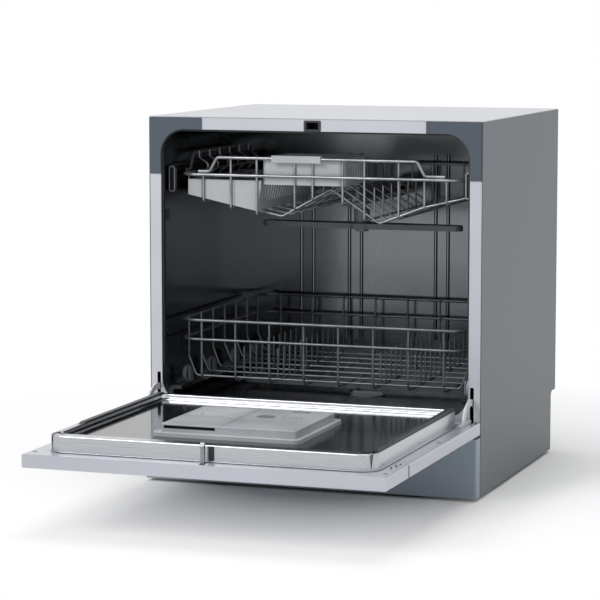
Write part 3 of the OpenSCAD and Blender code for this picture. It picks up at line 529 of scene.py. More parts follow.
# ---------------------------------------------------------------- modelling
class Bench:
    """A small set of hand moves in edit mode, with everything in millimetres."""

    @staticmethod
    def clear() -> None:
        """Leave edit mode and select nothing."""
        if bpy.context.object and bpy.context.object.mode != "OBJECT":
            bpy.ops.object.mode_set(mode="OBJECT")
        bpy.ops.object.select_all(action="DESELECT")

    @staticmethod
    def settle(name: str) -> bpy.types.Object:
        """Name the active object and put its place into its mesh.

        Args:
            name: the name.

        Returns:
            The object.
        """
        piece = bpy.context.object
        piece.name = name
        piece.data.name = name
        bpy.ops.object.transform_apply(location=True, rotation=True, scale=True)
        return piece

    @classmethod
    def take(cls, piece: bpy.types.Object) -> None:
        """Leave edit mode, and make one piece the active and only selected one.

        Args:
            piece: the piece.
        """
        cls.clear()
        bpy.context.view_layer.objects.active = piece
        piece.select_set(True)

    @classmethod
    def block(cls, name: str, low: Triple, high: Triple) -> bpy.types.Object:
        """Add a block between two corners.

        Args:
            name: the piece's name.
            low: lowest corner in millimetres.
            high: highest corner in millimetres.

        Returns:
            The block, selected and active.
        """
        cls.clear()
        middle = [(a + b) / 2 * MM for a, b in zip(low, high)]
        size = [(b - a) * MM for a, b in zip(low, high)]
        bpy.ops.mesh.primitive_cube_add(size=1.0, location=middle, scale=size)
        return cls.settle(name)

    @classmethod
    def drum(cls, name: str, centre: Triple, radius: float, depth: float,
             axis: str = "Z", sides: int = 48) -> bpy.types.Object:
        """Add a drum along one axis.

        Args:
            name: the piece's name.
            centre: its middle in millimetres.
            radius: its radius in millimetres.
            depth: its length in millimetres.
            axis: the axis it lies along.
            sides: faces round it.

        Returns:
            The drum, selected and active.
        """
        cls.clear()
        quarter = math.pi / 2
        turn = {"X": (0.0, quarter, 0.0), "Y": (quarter, 0.0, 0.0), "Z": (0.0, 0.0, 0.0)}[axis]
        spot = [value * MM for value in centre]
        bpy.ops.mesh.primitive_cylinder_add(
            vertices=sides, radius=radius * MM, depth=depth * MM, location=spot, rotation=turn)
        return cls.settle(name)

    @staticmethod
    def pick_faces(piece: bpy.types.Object, test: Test) -> None:
        """Select some faces in edit mode.

        Args:
            piece: the active piece.
            test: tells by a face's centre (mm) and normal whether it is picked.
        """
        bpy.ops.object.mode_set(mode="EDIT")
        bpy.ops.mesh.select_mode(type="FACE")
        bpy.ops.mesh.select_all(action="DESELECT")
        shape = bmesh.from_edit_mesh(piece.data)
        for face in shape.faces:
            face.select_set(test(face.calc_center_median() / MM, face.normal))
        bmesh.update_edit_mesh(piece.data)

    @staticmethod
    def pick_edges(piece: bpy.types.Object, test: Test) -> None:
        """Select some edges in edit mode.

        Args:
            piece: the active piece.
            test: tells by an edge's middle (mm) and direction whether it is picked.
        """
        bpy.ops.object.mode_set(mode="EDIT")
        bpy.ops.mesh.select_mode(type="EDGE")
        bpy.ops.mesh.select_all(action="DESELECT")
        shape = bmesh.from_edit_mesh(piece.data)
        for edge in shape.edges:
            first, second = (vertex.co / MM for vertex in edge.verts)
            edge.select_set(test((first + second) / 2, (second - first).normalized()))
        bmesh.update_edit_mesh(piece.data)

    @classmethod
    def round_edges(cls, piece: bpy.types.Object, test: Test, width: float, segments: int) -> None:
        """Round the edges that pass a test by a width in millimetres."""
        cls.pick_edges(piece, test)
        cls.bevel(width, segments)

    @classmethod
    def dish(cls, piece: bpy.types.Object, test: Test, width: float, step: Triple) -> None:
        """Inset some faces, and push or pull what lies inside.

        Args:
            piece: the active piece.
            test: tells which faces.
            width: the width of the border that stays, in millimetres.
            step: how far the inside moves, in millimetres.
        """
        cls.pick_faces(piece, test)
        cls.inset(width)
        cls.extrude(step)

    @staticmethod
    def bevel(width: float, segments: int) -> None:
        """Round the selected edges by a width in millimetres."""
        bpy.ops.mesh.bevel(offset=width * MM, segments=segments, affect="EDGES", profile=0.5)

    @staticmethod
    def inset(width: float) -> None:
        """Inset the selected faces by a width in millimetres."""
        bpy.ops.mesh.inset(thickness=width * MM, depth=0.0, use_even_offset=True)

    @staticmethod
    def extrude(step: Triple) -> None:
        """Extrude the selected faces by a step in millimetres."""
        move = [value * MM for value in step]
        bpy.ops.mesh.extrude_region_move(TRANSFORM_OT_translate={"value": move})

    @classmethod
    def close(cls, piece: bpy.types.Object, angle: float = 35.0) -> bpy.types.Object:
        """Merge doubles, turn all faces outwards and shade smooth, and leave edit mode.

        Args:
            piece: the piece.
            angle: the largest angle in degrees that is shaded smooth.

        Returns:
            The piece.
        """
        cls.take(piece)
        bpy.ops.object.mode_set(mode="EDIT")
        bpy.ops.mesh.select_all(action="SELECT")
        bpy.ops.mesh.remove_doubles(threshold=1e-6)
        bpy.ops.mesh.normals_make_consistent(inside=False)
        bpy.ops.object.mode_set(mode="OBJECT")
        bpy.ops.object.shade_smooth_by_angle(angle=math.radians(angle))
        return piece

    @classmethod
    def carve(cls, piece: bpy.types.Object, cutter: bpy.types.Object) -> None:
        """Cut one piece by another, and throw the cutter away.

        Args:
            piece: what is cut.
            cutter: what is cut out of it.
        """
        cls.take(piece)
        carving = piece.modifiers.new("carve", "BOOLEAN")
        carving.operation = "DIFFERENCE"
        carving.solver = "EXACT"
        carving.object = cutter
        bpy.ops.object.modifier_apply(modifier=carving.name)
        bpy.data.objects.remove(cutter, do_unlink=True)

    @classmethod
    def soften(cls, piece: bpy.types.Object, width: float, segments: int = 3,
               angle: float = 40.0) -> None:
        """Round every sharp edge of a piece by a Bevel modifier, and apply it.

        Args:
            piece: the piece.
            width: the width of the rounding in millimetres.
            segments: faces across it.
            angle: the smallest angle in degrees that counts as sharp.
        """
        cls.take(piece)
        rounding = piece.modifiers.new("soften", "BEVEL")
        rounding.width = width * MM
        rounding.segments = segments
        rounding.limit_method = "ANGLE"
        rounding.angle_limit = math.radians(angle)
        bpy.ops.object.modifier_apply(modifier=rounding.name)

    @classmethod
    def join(cls, name: str, pieces: Sequence[bpy.types.Object]) -> bpy.types.Object:
        """Join pieces into the first of them.

        Args:
            name: the name of the result.
            pieces: the pieces.

        Returns:
            The first piece, with the others in it.
        """
        cls.clear()
        for piece in pieces:
            piece.select_set(True)
        bpy.context.view_layer.objects.active = pieces[0]
        bpy.ops.object.join()
        pieces[0].name = name
        return pieces[0]

    @classmethod
    def copy(cls, piece: bpy.types.Object, name: str, step: Triple) -> bpy.types.Object:
        """Copy a piece with a mesh of its own.

        Args:
            piece: the piece.
            name: the copy's name.
            step: how far the copy stands from it, in millimetres.

        Returns:
            The copy, selected and active.
        """
        cls.clear()
        twin = piece.copy()
        twin.data = piece.data.copy()
        twin.name = name
        bpy.context.scene.collection.objects.link(twin)
        twin.location = [value * MM for value in step]
        cls.take(twin)
        bpy.ops.object.transform_apply(location=True, rotation=True, scale=True)
        return twin

    @classmethod
    def mirror(cls, piece: bpy.types.Object, name: str) -> bpy.types.Object:
        """Copy a piece to the machine's other side.

        Args:
            piece: the piece.
            name: the copy's name.

        Returns:
            The mirrored copy.
        """
        twin = cls.copy(piece, name, (0.0, 0.0, 0.0))
        bpy.ops.object.mode_set(mode="EDIT")
        bpy.ops.mesh.select_all(action="SELECT")
        bpy.ops.transform.mirror(orient_type="GLOBAL", constraint_axis=(True, False, False),
                                 center_override=(0.0, 0.0, 0.0))
        return cls.close(twin)


def edge_along(axis: int) -> Test:
    """Give a test for edges that lie along one axis."""
    return lambda middle, way: abs(way[axis]) > STRAIGHT


def looks_up(middle: Vector, normal: Vector) -> bool:
    """Tell whether a face looks up."""
    return normal.z > FLAT


def looks_forward(middle: Vector, normal: Vector) -> bool:
    """Tell whether a face looks to the front."""
    return normal.y < -FLAT


# ---------------------------------------------------------------- sub-assemblies
@dataclass
class Dresser:
    """The frame's own nodes, by the finish that they wear."""

    wardrobe: Wardrobe
    nodes: Dict[Finish, Sequence[str]] = field(default_factory=lambda: {
        Finish.SIDE: ("side_panel_left", "side_panel_right"),
        Finish.TOP: ("top_panel",),
        Finish.DOOR: ("door_panel", "control_fascia"),
        Finish.PLINTH: ("kick_panel",),
        Finish.FRAME: ("front_frame",),
        Finish.CORNER: ("corner_plates",),
        Finish.TUB: ("tub_shell", "tub_back"),
        Finish.TUB_FLOOR: ("tub_floor", "wheel_ledges", "filter_plate"),
        Finish.ZINC: ("back_panel",),
        Finish.BRACKET: ("hinge_brackets", "latch_hook"),
        Finish.RAIL: ("upper_rails",),
        Finish.PALE: ("cutlery_tray", "side_tray"),
        Finish.MIDDLE: ("sump", "feed_pipe", "drain_spigot", "filter_cup", "upper_conduit",
                        "wheel_axles"),
        Finish.SMOKY: ("lower_spray_arm", "upper_spray_arm"),
        Finish.DARK: ("base_pan", "latch_socket", "wash_pump", "drain_pump", "cord_gland"),
        Finish.TRACK: ("rail_guides", "wheel_tracks"),
        Finish.BRIGHT: ("inlet_valve", "hinge_arms", "power_button",
                        "programme_button_1", "programme_button_2", "programme_button_3"),
        Finish.WIRE: ("upper_rims", "upper_floor_wires", "upper_wall_wires"),
        Finish.DIM_WIRE: ("lower_rims", "lower_wires"),
        Finish.RUBBER: ("feet", "door_seal"),
        Finish.WINDOW: ("display_window",),
    })

    def build(self, frame_nodes: Dict[str, bpy.types.Object]) -> None:
        """Dress every node that keeps its own shape.

        Args:
            frame_nodes: the frame's nodes by name.
        """
        for finish, names in self.nodes.items():
            for name in names:
                self.wardrobe.dress(frame_nodes[name], finish)
                log.info("node %s wears %s", name, finish.name)


@dataclass
class Maker:
    """Base of the sub-assemblies, with their sizes in millimetres: it places finished pieces."""

    wardrobe: Wardrobe

    def fit(self, piece: bpy.types.Object, body: str, finish: Finish, slot: str,
            *nodes: str) -> bpy.types.Object:
        """Dress a piece, set it on its body, and let it stand for frame nodes.

        Args:
            piece: the finished piece.
            body: the body it moves with.
            finish: what it wears.
            slot: a material slot name; not used.
            *nodes: frame nodes that it stands for.

        Returns:
            The piece.
        """
        self.wardrobe.dress(piece, finish)
        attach(piece, body)
        if nodes:
            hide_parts(*nodes)
        log.info("piece %s on %s", piece.name, body)
        return piece


@dataclass
class DoorLiner(Maker):
    """Pressed steel liner: a rim round a sunk mirror field in darker steel as painted reflection,
    on a flange over a black ring of painted shadow.
    """

    corner: float = 25.0
    corner_steps: int = 12
    side_rim: float = 11.0
    nose_rim: float = 22.0
    rim_round: float = 1.5
    sink: float = 6.0
    field_border: float = 9.0
    field_sink: float = 1.6
    field_round: float = 1.2
    # how far the field's middle may lie from the liner's
    field_reach: Tuple[float, float] = (20.0, 60.0)
    seat_side: float = 8.5
    seat_nose: float = 14.5
    seat_foot: float = 0.2
    flange: float = 2.6
    flange_foot: float = 0.7
    flange_head: float = 1.7
    flange_round: float = 0.25
    # how far the black ring of painted shadow stands out of the pressing
    gap: float = 1.6
    shadow_ring_foot: float = 0.05
    ease: float = 3.4
    hinge_room: float = 6.0
    front_zone: float = 10.0
    # the recess's corners against the nose's lower and upper edge
    recess_low: Triple = (3.4, -0.5, 2.5)
    recess_high: Triple = (12.0, 3.0, -1.2)
    recess_round: float = 1.5
    recess_border: float = 0.9
    recess_sink: float = 0.4

    def build(self) -> None:
        """Build the pressing, its flange, the black ring of painted shadow under it and the latch's
        recess in dark plastic as painted reflection.
        """
        low, high = span("door_liner")
        self._pressing(low, high)
        flange_foot, flange_head = low[2] + self.flange_foot, low[2] + self.flange_head
        self._ring("liner_flange", low, high, self.flange, (flange_foot, flange_head), Finish.LINER)
        # a black rubber ring under the flange: painted shadow where the liner meets the door
        shadow_ring_foot = low[2] + self.shadow_ring_foot
        self._ring("liner_gap", low, high, self.gap, (shadow_ring_foot, flange_foot), Finish.RUBBER)
        self._latch_recess(low, high)

    def _pressing(self, low: Triple, high: Triple) -> None:
        """Build the pressing between the liner's corners.

        Args:
            low: the liner's lowest corner.
            high: its highest corner.
        """
        top, bottom = high[2], high[2] - self.sink
        reach, nose = high[0] - self.side_rim, low[1] + self.side_rim
        centre = (low[1] + high[1]) / 2
        pan = Bench.block("liner_pressing", low, high)
        Bench.round_edges(pan, edge_along(2), self.corner, self.corner_steps)
        Bench.pick_faces(pan, looks_up)
        Bench.inset(self.side_rim)
        # the rim is wider at the nose, where the latch stands
        Bench.pick_edges(pan, lambda middle, way: middle.z > top - NEAR
                         and abs(middle.x) < reach + NEAR
                         and nose - NEAR < middle.y < low[1] + self.corner + ROOM)
        bpy.ops.transform.translate(value=(0.0, (self.nose_rim - self.side_rim) * MM, 0.0))
        Bench.pick_faces(pan, lambda middle, normal: looks_up(middle, normal)
                         and abs(middle.x) < self.field_reach[0]
                         and abs(middle.y - centre) < self.field_reach[1])
        Bench.extrude((0.0, 0.0, -self.sink))
        Bench.inset(self.field_border)
        Bench.extrude((0.0, 0.0, -self.field_sink))
        Bench.round_edges(pan, lambda middle, way: abs(middle.z - top) < NEAR and abs(way.z) < NEAR,
                          self.rim_round, segments=3)
        Bench.round_edges(pan, lambda middle, way: abs(way.z) < NEAR
                          and bottom - self.field_sink - NEAR < middle.z < bottom + NEAR,
                          self.field_round, segments=2)
        Bench.close(pan)
        self._seat(pan, top)
        self.fit(pan, "door", Finish.LINER, "liner_steel", "door_liner")
        # the sunk field's faces wear the darker steel: painted reflection
        self.wardrobe.patch(pan, Finish.MIRROR, lambda middle, normal: normal.z > SLOPED
                            and middle.z < top - self.sink / 2)

    def _seat(self, pan: bpy.types.Object, top: float) -> None:
        """Cut the way of the dispenser's housing through the field, and keep flat faces flat.

        Args:
            pan: the pressing.
            top: the height of its rim.
        """
        low, high = span("dispenser_body")
        Bench.carve(pan, Bench.block(
            "seat", (low[0] + self.seat_side, low[1] + self.seat_nose, low[2] + self.seat_foot),
            (high[0] - self.seat_side, high[1] - self.seat_side, top + CLEAR)))
        Bench.close(pan)
        Bench.pick_faces(pan, lambda middle, normal: abs(normal.z) > LEVEL)
        bpy.ops.mesh.faces_shade_flat()
        Bench.clear()

    def _latch_recess(self, low: Triple, high: Triple) -> None:
        """Set the well beside the latch hook into the nose wall, in dark plastic as a painted
        reflection.

        Args:
            low: the liner's lowest corner.
            high: its highest corner.
        """
        near, far = self.recess_low, self.recess_high
        well = Bench.block("latch_recess", (near[0], low[1] + near[1], low[2] + near[2]),
                           (far[0], low[1] + far[1], high[2] + far[2]))
        Bench.round_edges(well, edge_along(1), self.recess_round, segments=3)
        Bench.dish(well, looks_forward, self.recess_border, (0.0, self.recess_sink, 0.0))
        Bench.close(well)
        # dark plastic: painted reflection beside the latch hook
        self.fit(well, "door", Finish.DARK, "dark_plastic")

    def _ring(self, name: str, low: Triple, high: Triple, proud: float,
              heights: Tuple[float, float], finish: Finish) -> None:
        """Lay one thin sheet under the pressing, a little wider than it.

        Args:
            name: the piece's name.
            low: the liner's lowest corner.
            high: its highest corner.
            proud: how far the sheet stands out of the pressing.
            heights: the sheet's underside and top.
            finish: what it wears.
        """
        sheet = Bench.block(name, (low[0] - proud, low[1] - proud, heights[0]),
                            (high[0] + proud, high[1] - self.hinge_room, heights[1]))
        Bench.round_edges(sheet, lambda middle, way: abs(way.z) > STRAIGHT
                          and middle.y < low[1] + self.front_zone,
                          self.corner + proud + self.ease, self.corner_steps)
        Bench.close(sheet)
        Bench.soften(sheet, self.flange_round, segments=2)
        self.fit(sheet, "door", finish, "liner_steel")


@dataclass
class Dispenser(Maker):
    """Detergent and rinse-aid dispenser on the liner, with its flap and dial."""

    plate_depth: float = 17.0
    plate_rise: float = 10.6
    plate_corner: float = 10.0
    plate_lip: float = 2.2
    plate_sink: float = 1.0
    plate_edge: float = 0.5
    plate_well_side: float = 2.0
    plate_well_front: float = 4.0
    wall: float = 9.0
    nose: float = 15.0
    corner: float = 4.0
    edge: float = 1.0
    foot_gap: float = 0.5
    # how much narrower on each side, and how much shorter, the flap is than its opening
    lid_margin: Tuple[float, float] = (2.6, 2.4)
    lid_thick: float = 2.0
    lid_gap: float = 0.5
    lid_bed: float = 0.4
    lid_corner: float = 5.0
    lid_border: float = 3.0
    lid_crown: float = 0.6
    lid_edge: float = 0.3
    dip: float = 22.0
    dip_place: float = 14.0
    dip_depth: float = 0.8
    dip_length: float = 40.0
    dip_sides: int = 96
    # the slot's floor and roof against the top
    slot: Tuple[float, float] = (-6.6, -2.2)
    slot_depth: float = 12.0
    slot_end: float = 2.0
    # the score's two sides, right of the lid
    score: Tuple[float, float] = (5.0, 6.4)
    score_depth: float = 1.2
    score_end: float = 14.0
    cup_wall: float = 4.0
    cup_back: float = 7.0
    cup_floor: float = 2.5
    cup_corner: float = 8.0
    ticks: int = 4
    tick_row: float = 26.0
    tick_pitch: float = 9.0
    tick_width: float = 3.0
    tick_reach: float = 9.0
    tick_step: float = 2.0
    tick_depth: float = 0.7
    # the catch's sides against the first tick, its ends before the back, and its heights
    catch: Tuple[float, float] = (-2.0, 24.0)
    catch_back: Tuple[float, float] = (30.0, 20.0)
    catch_height: Tuple[float, float] = (-1.0, 0.7)
    catch_corner: float = 3.0
    catch_border: float = 1.6
    catch_sink: float = 0.8
    dial_gap: float = 1.0
    # the middle of the dial's seat over the top, and its length
    dial_seat: Tuple[float, float] = (1.0, 10.0)
    dial_sides: int = 40
    dial_depth: float = 4.4
    dial_drop: float = 1.6
    dial_border: float = 2.0
    dial_sink: float = 1.0
    dial_edge: float = 0.4
    grip: float = 2.0
    grip_end: float = 2.4
    # the grip's foot and head against the top
    grip_height: Tuple[float, float] = (-1.0, 0.6)
    grip_corner: float = 1.6
    # read from the frame
    low: Triple = field(init=False)
    high: Triple = field(init=False)
    top: float = field(init=False)
    lid: Tuple[float, float, float, float] = field(init=False)
    cap: Triple = field(init=False)

    def __post_init__(self) -> None:
        """Read the corners, the lid's sides and the cap's centre and radius from the frame."""
        self.low, self.high = span("dispenser_body")
        self.top = self.high[2]
        low, high = span("detergent_lid")
        side, back = self.lid_margin
        self.lid = (low[0] + side, low[1], high[0] - side, high[1] - back)
        low, high = span("rinse_cap")
        self.cap = ((low[0] + high[0]) / 2, (low[1] + high[1]) / 2, (high[0] - low[0]) / 2)

    def build(self) -> None:
        """Build the plate, the housing, the catch, the flap and the dial."""
        self._plate()
        self._housing()
        self._catch()
        self._flap()
        self._dial()

    def _plate(self) -> None:
        """Build the base plate with its raised lip."""
        foot = self.top - self.plate_depth
        left, near, right, far = self.lid
        plate = Bench.block("dispenser_plate", (self.low[0], self.low[1], foot),
                            (self.high[0], self.high[1], self.top - self.plate_rise))
        Bench.round_edges(plate, edge_along(2), self.plate_corner, segments=6)
        Bench.dish(plate, looks_up, self.plate_lip, (0.0, 0.0, -self.plate_sink))
        Bench.close(plate)
        Bench.soften(plate, self.plate_edge, segments=2, angle=30.0)
        side, front = self.plate_well_side, self.plate_well_front
        Bench.carve(plate, Bench.block("well", (left - side, near - front, foot - front),
                                       (right + side, far - side, self.top)))
        Bench.close(plate)
        self.fit(plate, "door", Finish.PALE, "light_plastic")

    def _housing(self) -> None:
        """Build the raised housing with its cup, slot, seat and marks."""
        top, foot, nose = self.top, self.low[2] + self.foot_gap, self.low[1] + self.nose
        left, _, right, _ = self.lid
        house = Bench.block("dispenser_housing", (self.low[0] + self.wall, nose, foot),
                            (self.high[0] - self.wall, self.high[1] - self.wall, top))
        Bench.round_edges(house, edge_along(2), self.corner, segments=4)
        Bench.close(house)
        Bench.soften(house, self.edge, segments=3, angle=30.0)
        for cutter in self._cutters(nose, foot):
            Bench.carve(house, cutter)
        Bench.close(house)
        self.fit(house, "door", Finish.HOUSING, "light_plastic", "dispenser_body")
        # the slot's inner faces wear dark plastic: painted shadow inside the slot
        floor, roof = self.slot
        inset = self.slot_end / 2
        self.wardrobe.patch(house, Finish.DARK, lambda middle, normal:
                            left + inset < middle.x < right - inset
                            and nose + 2 * NEAR < middle.y < nose + self.slot_depth + NEAR
                            and top + floor - NEAR < middle.z < top + roof + NEAR)

    def _cutters(self, nose: float, foot: float) -> List[bpy.types.Object]:
        """Make what is cut out of the housing: the lid's well, slot, score, seat, cup and ticks.

        Args:
            nose: the place of the housing's front wall.
            foot: the height of its underside.

        Returns:
            The cutters, in the order of cutting.
        """
        top, over = self.top, self.top + CLEAR
        left, near, right, far = self.lid
        x, y, radius = self.cap
        gap, wall, bed = self.lid_gap, self.cup_wall, top - self.lid_thick - self.lid_bed
        well = Bench.block("well", (left - gap, near - gap, bed), (right + gap, far + CLEAR, over))
        slot = Bench.block("slot", (left + self.slot_end, nose - ROOM, top + self.slot[0]),
                           (right - self.slot_end, nose + self.slot_depth, top + self.slot[1]))
        score = Bench.block("score", (right + self.score[0], nose - ROOM, top - self.score_depth),
                            (right + self.score[1], self.high[1] - self.score_end, over))
        rise, depth = self.dial_seat
        seat = Bench.drum("seat", (x, y, top + rise), radius + self.dial_gap, depth)
        cup = Bench.block("cup", (left + wall, near + wall, foot + self.cup_floor),
                          (right - wall, far - self.cup_back, over))
        Bench.round_edges(cup, edge_along(2), self.cup_corner, segments=5)
        cutters = [well, slot, score, seat, Bench.close(cup)]
        for index in range(self.ticks):
            side = x + self.tick_row + index * self.tick_pitch
            cutters.append(Bench.block(
                "tick", (side, y - self.tick_reach + index * self.tick_step, top - self.tick_depth),
                (side + self.tick_width, y + self.tick_reach, over)))
        return cutters

    def _catch(self) -> None:
        """Build the small catch behind the ticks."""
        left, right = (self.cap[0] + self.tick_row + end for end in self.catch)
        near, far = (self.high[1] - end for end in self.catch_back)
        foot, head = (self.top + end for end in self.catch_height)
        catch = Bench.block("dispenser_catch", (left, near, foot), (right, far, head))
        Bench.round_edges(catch, edge_along(2), self.catch_corner, segments=4)
        Bench.dish(catch, looks_up, self.catch_border, (0.0, 0.0, -self.catch_sink))
        Bench.close(catch)
        self.fit(catch, "door", Finish.MIDDLE, "light_plastic")

    def _flap(self) -> None:
        """Build the flap with a raised panel and a finger dip."""
        left, near, right, far = self.lid
        foot = self.top - self.lid_thick
        flap = Bench.block("detergent_flap", (left, near, foot), (right, far, self.top))
        Bench.round_edges(flap, edge_along(2), self.lid_corner, segments=5)
        Bench.dish(flap, looks_up, self.lid_border, (0.0, 0.0, self.lid_crown))
        Bench.close(flap)
        middle = ((left + right) / 2, near + self.dip_place, self.top + self.dip - self.dip_depth)
        Bench.carve(flap, Bench.drum("dip", middle, self.dip, self.dip_length, "X", self.dip_sides))
        Bench.close(flap)
        Bench.soften(flap, self.lid_edge, segments=2, angle=30.0)
        Bench.close(flap)
        self.fit(flap, "detergent_lid", Finish.PALE, "light_plastic", "detergent_lid")

    def _dial(self) -> None:
        """Build the rinse-aid dial with its grip bar."""
        x, y, radius = self.cap
        middle = (x, y, self.top - self.dial_drop)
        cap = Bench.drum("rinse_dial", middle, radius, self.dial_depth, "Z", self.dial_sides)
        Bench.dish(cap, looks_up, self.dial_border, (0.0, 0.0, -self.dial_sink))
        Bench.close(cap)
        half = radius - self.grip_end
        bar = Bench.block("bar", (x - half, y - self.grip, self.top + self.grip_height[0]),
                          (x + half, y + self.grip, self.top + self.grip_height[1]))
        Bench.round_edges(bar, edge_along(2), self.grip_corner, segments=3)
        Bench.close(bar)
        Bench.soften(cap, self.dial_edge, segments=2, angle=35.0)
        dial = Bench.join("rinse_dial", [cap, bar])
        Bench.close(dial)
        self.fit(dial, "rinse_cap", Finish.MIDDLE, "mid_plastic", "rinse_cap")


@dataclass
class Wheels(Maker):
    """Basket wheels: a flange and a hub whose face carries a ring of holes."""

    count: int = 4
    flange: float = 3.0
    sides: int = 56
    hub: float = 11.6
    hub_wall: float = 1.3
    hub_sink: float = 1.0
    boss: float = 5.2
    boss_rise: float = 0.9
    edge: float = 0.5
    holes: int = 8
    ring: float = 7.7
    hole: float = 2.1
    hole_depth: float = 14.0
    hole_sides: int = 16
    bore: float = 2.7
    bore_depth: float = 30.0
    bore_sides: int = 24

    def build(self) -> None:
        """Build all the wheels from the first."""
        master = self._master()
        first = span("wheel_right_1")[0][1]
        for index in range(1, self.count + 1):
            node, opposite = f"wheel_right_{index}", f"wheel_left_{index}"
            step = span(node)[0][1] - first
            right = Bench.copy(master, f"roller_right_{index}", (0.0, step, 0.0))
            self.fit(right, node, Finish.PALE, "mid_plastic", node)
            left = Bench.mirror(right, f"roller_left_{index}")
            # the left wheel wears a darker grey than its right twin, the same part: painted shade
            self.fit(left, opposite, Finish.MIDDLE, "mid_plastic", opposite)
            self._paint_hole_shade(node, right, left)
        bpy.data.objects.remove(master, do_unlink=True)

    def _master(self) -> bpy.types.Object:
        """Build the right front wheel.

        Returns:
            The wheel, from which the others are copied.
        """
        low, high = span("wheel_right_1")
        radius, y, z = (high[2] - low[2]) / 2, (low[1] + high[1]) / 2, (low[2] + high[2]) / 2
        middle = (low[0] + self.flange / 2, y, z)
        wheel = Bench.drum("wheel_master", middle, radius, self.flange, "X", self.sides)
        Bench.pick_faces(wheel, lambda middle, normal: normal.x > FLAT)
        Bench.inset(radius - self.hub)
        Bench.extrude((high[0] - low[0] - self.flange, 0.0, 0.0))
        Bench.inset(self.hub_wall)
        Bench.extrude((-self.hub_sink, 0.0, 0.0))
        Bench.inset(self.hub - self.boss)
        Bench.extrude((self.boss_rise, 0.0, 0.0))
        Bench.close(wheel)
        Bench.soften(wheel, self.edge, segments=3, angle=30.0)
        face = high[0] - self.hub_sink
        for index in range(self.holes):
            angle = math.tau * index / self.holes
            spot = (face, y + self.ring * math.cos(angle), z + self.ring * math.sin(angle))
            hole = Bench.drum("hole", spot, self.hole, self.hole_depth, "X", self.hole_sides)
            Bench.carve(wheel, hole)
        bore = Bench.drum("bore", (low[0], y, z), self.bore, self.bore_depth, "X", self.bore_sides)
        Bench.carve(wheel, bore)
        return Bench.close(wheel)

    def _paint_hole_shade(self, node: str, *wheels: bpy.types.Object) -> None:
        """Paint shade on the walls of the small holes with a dark finish.

        Args:
            node: the frame's wheel, which gives the axle's place.
            *wheels: the wheels on that axle.
        """
        low, high = span(node)
        y, z = (low[1] + high[1]) / 2, (low[2] + high[2]) / 2
        for wheel in wheels:
            # dark walls in the holes: painted shade
            self.wardrobe.patch(wheel, Finish.DARK, lambda middle, normal: abs(normal.x) < ACROSS
                                and abs(math.hypot(middle.y - y, middle.z - z) - self.ring)
                                < self.hole + NEAR / 2)


@dataclass
class RailCaps(Maker):
    """Rounded end caps that close the front ends of the upper basket's rails."""

    thick: float = 7.4
    proud: float = 0.4
    width: float = 10.4
    corner: float = 3.4
    border: float = 1.6
    sink: float = 0.7
    edge: float = 0.7

    def build(self) -> None:
        """Build the right cap and mirror it."""
        low, high = span("upper_rails")
        proud = self.proud
        right = self._cap("rail_cap_right",
                          (high[0] - self.width + proud, low[1] - proud, low[2] - proud),
                          (high[0] + proud, low[1] + self.thick, high[2] + proud))
        left = Bench.mirror(right, "rail_cap_left")
        self.fit(right, "upper_basket", Finish.PALE, "dark_plastic")
        # the left cap wears a darker grey than its right twin, the same part: painted shade
        self.fit(left, "upper_basket", Finish.MIDDLE, "dark_plastic")

    def _cap(self, name: str, low: Triple, high: Triple) -> bpy.types.Object:
        """Build one cap with a shallow dish in its face.

        Args:
            name: the piece's name.
            low: its lowest corner.
            high: its highest corner.

        Returns:
            The cap.
        """
        cap = Bench.block(name, low, high)
        Bench.round_edges(cap, edge_along(1), self.corner, segments=6)
        Bench.dish(cap, looks_forward, self.border, (0.0, self.sink, 0.0))
        Bench.close(cap)
        Bench.soften(cap, self.edge, segments=3, angle=30.0)
        return Bench.close(cap)


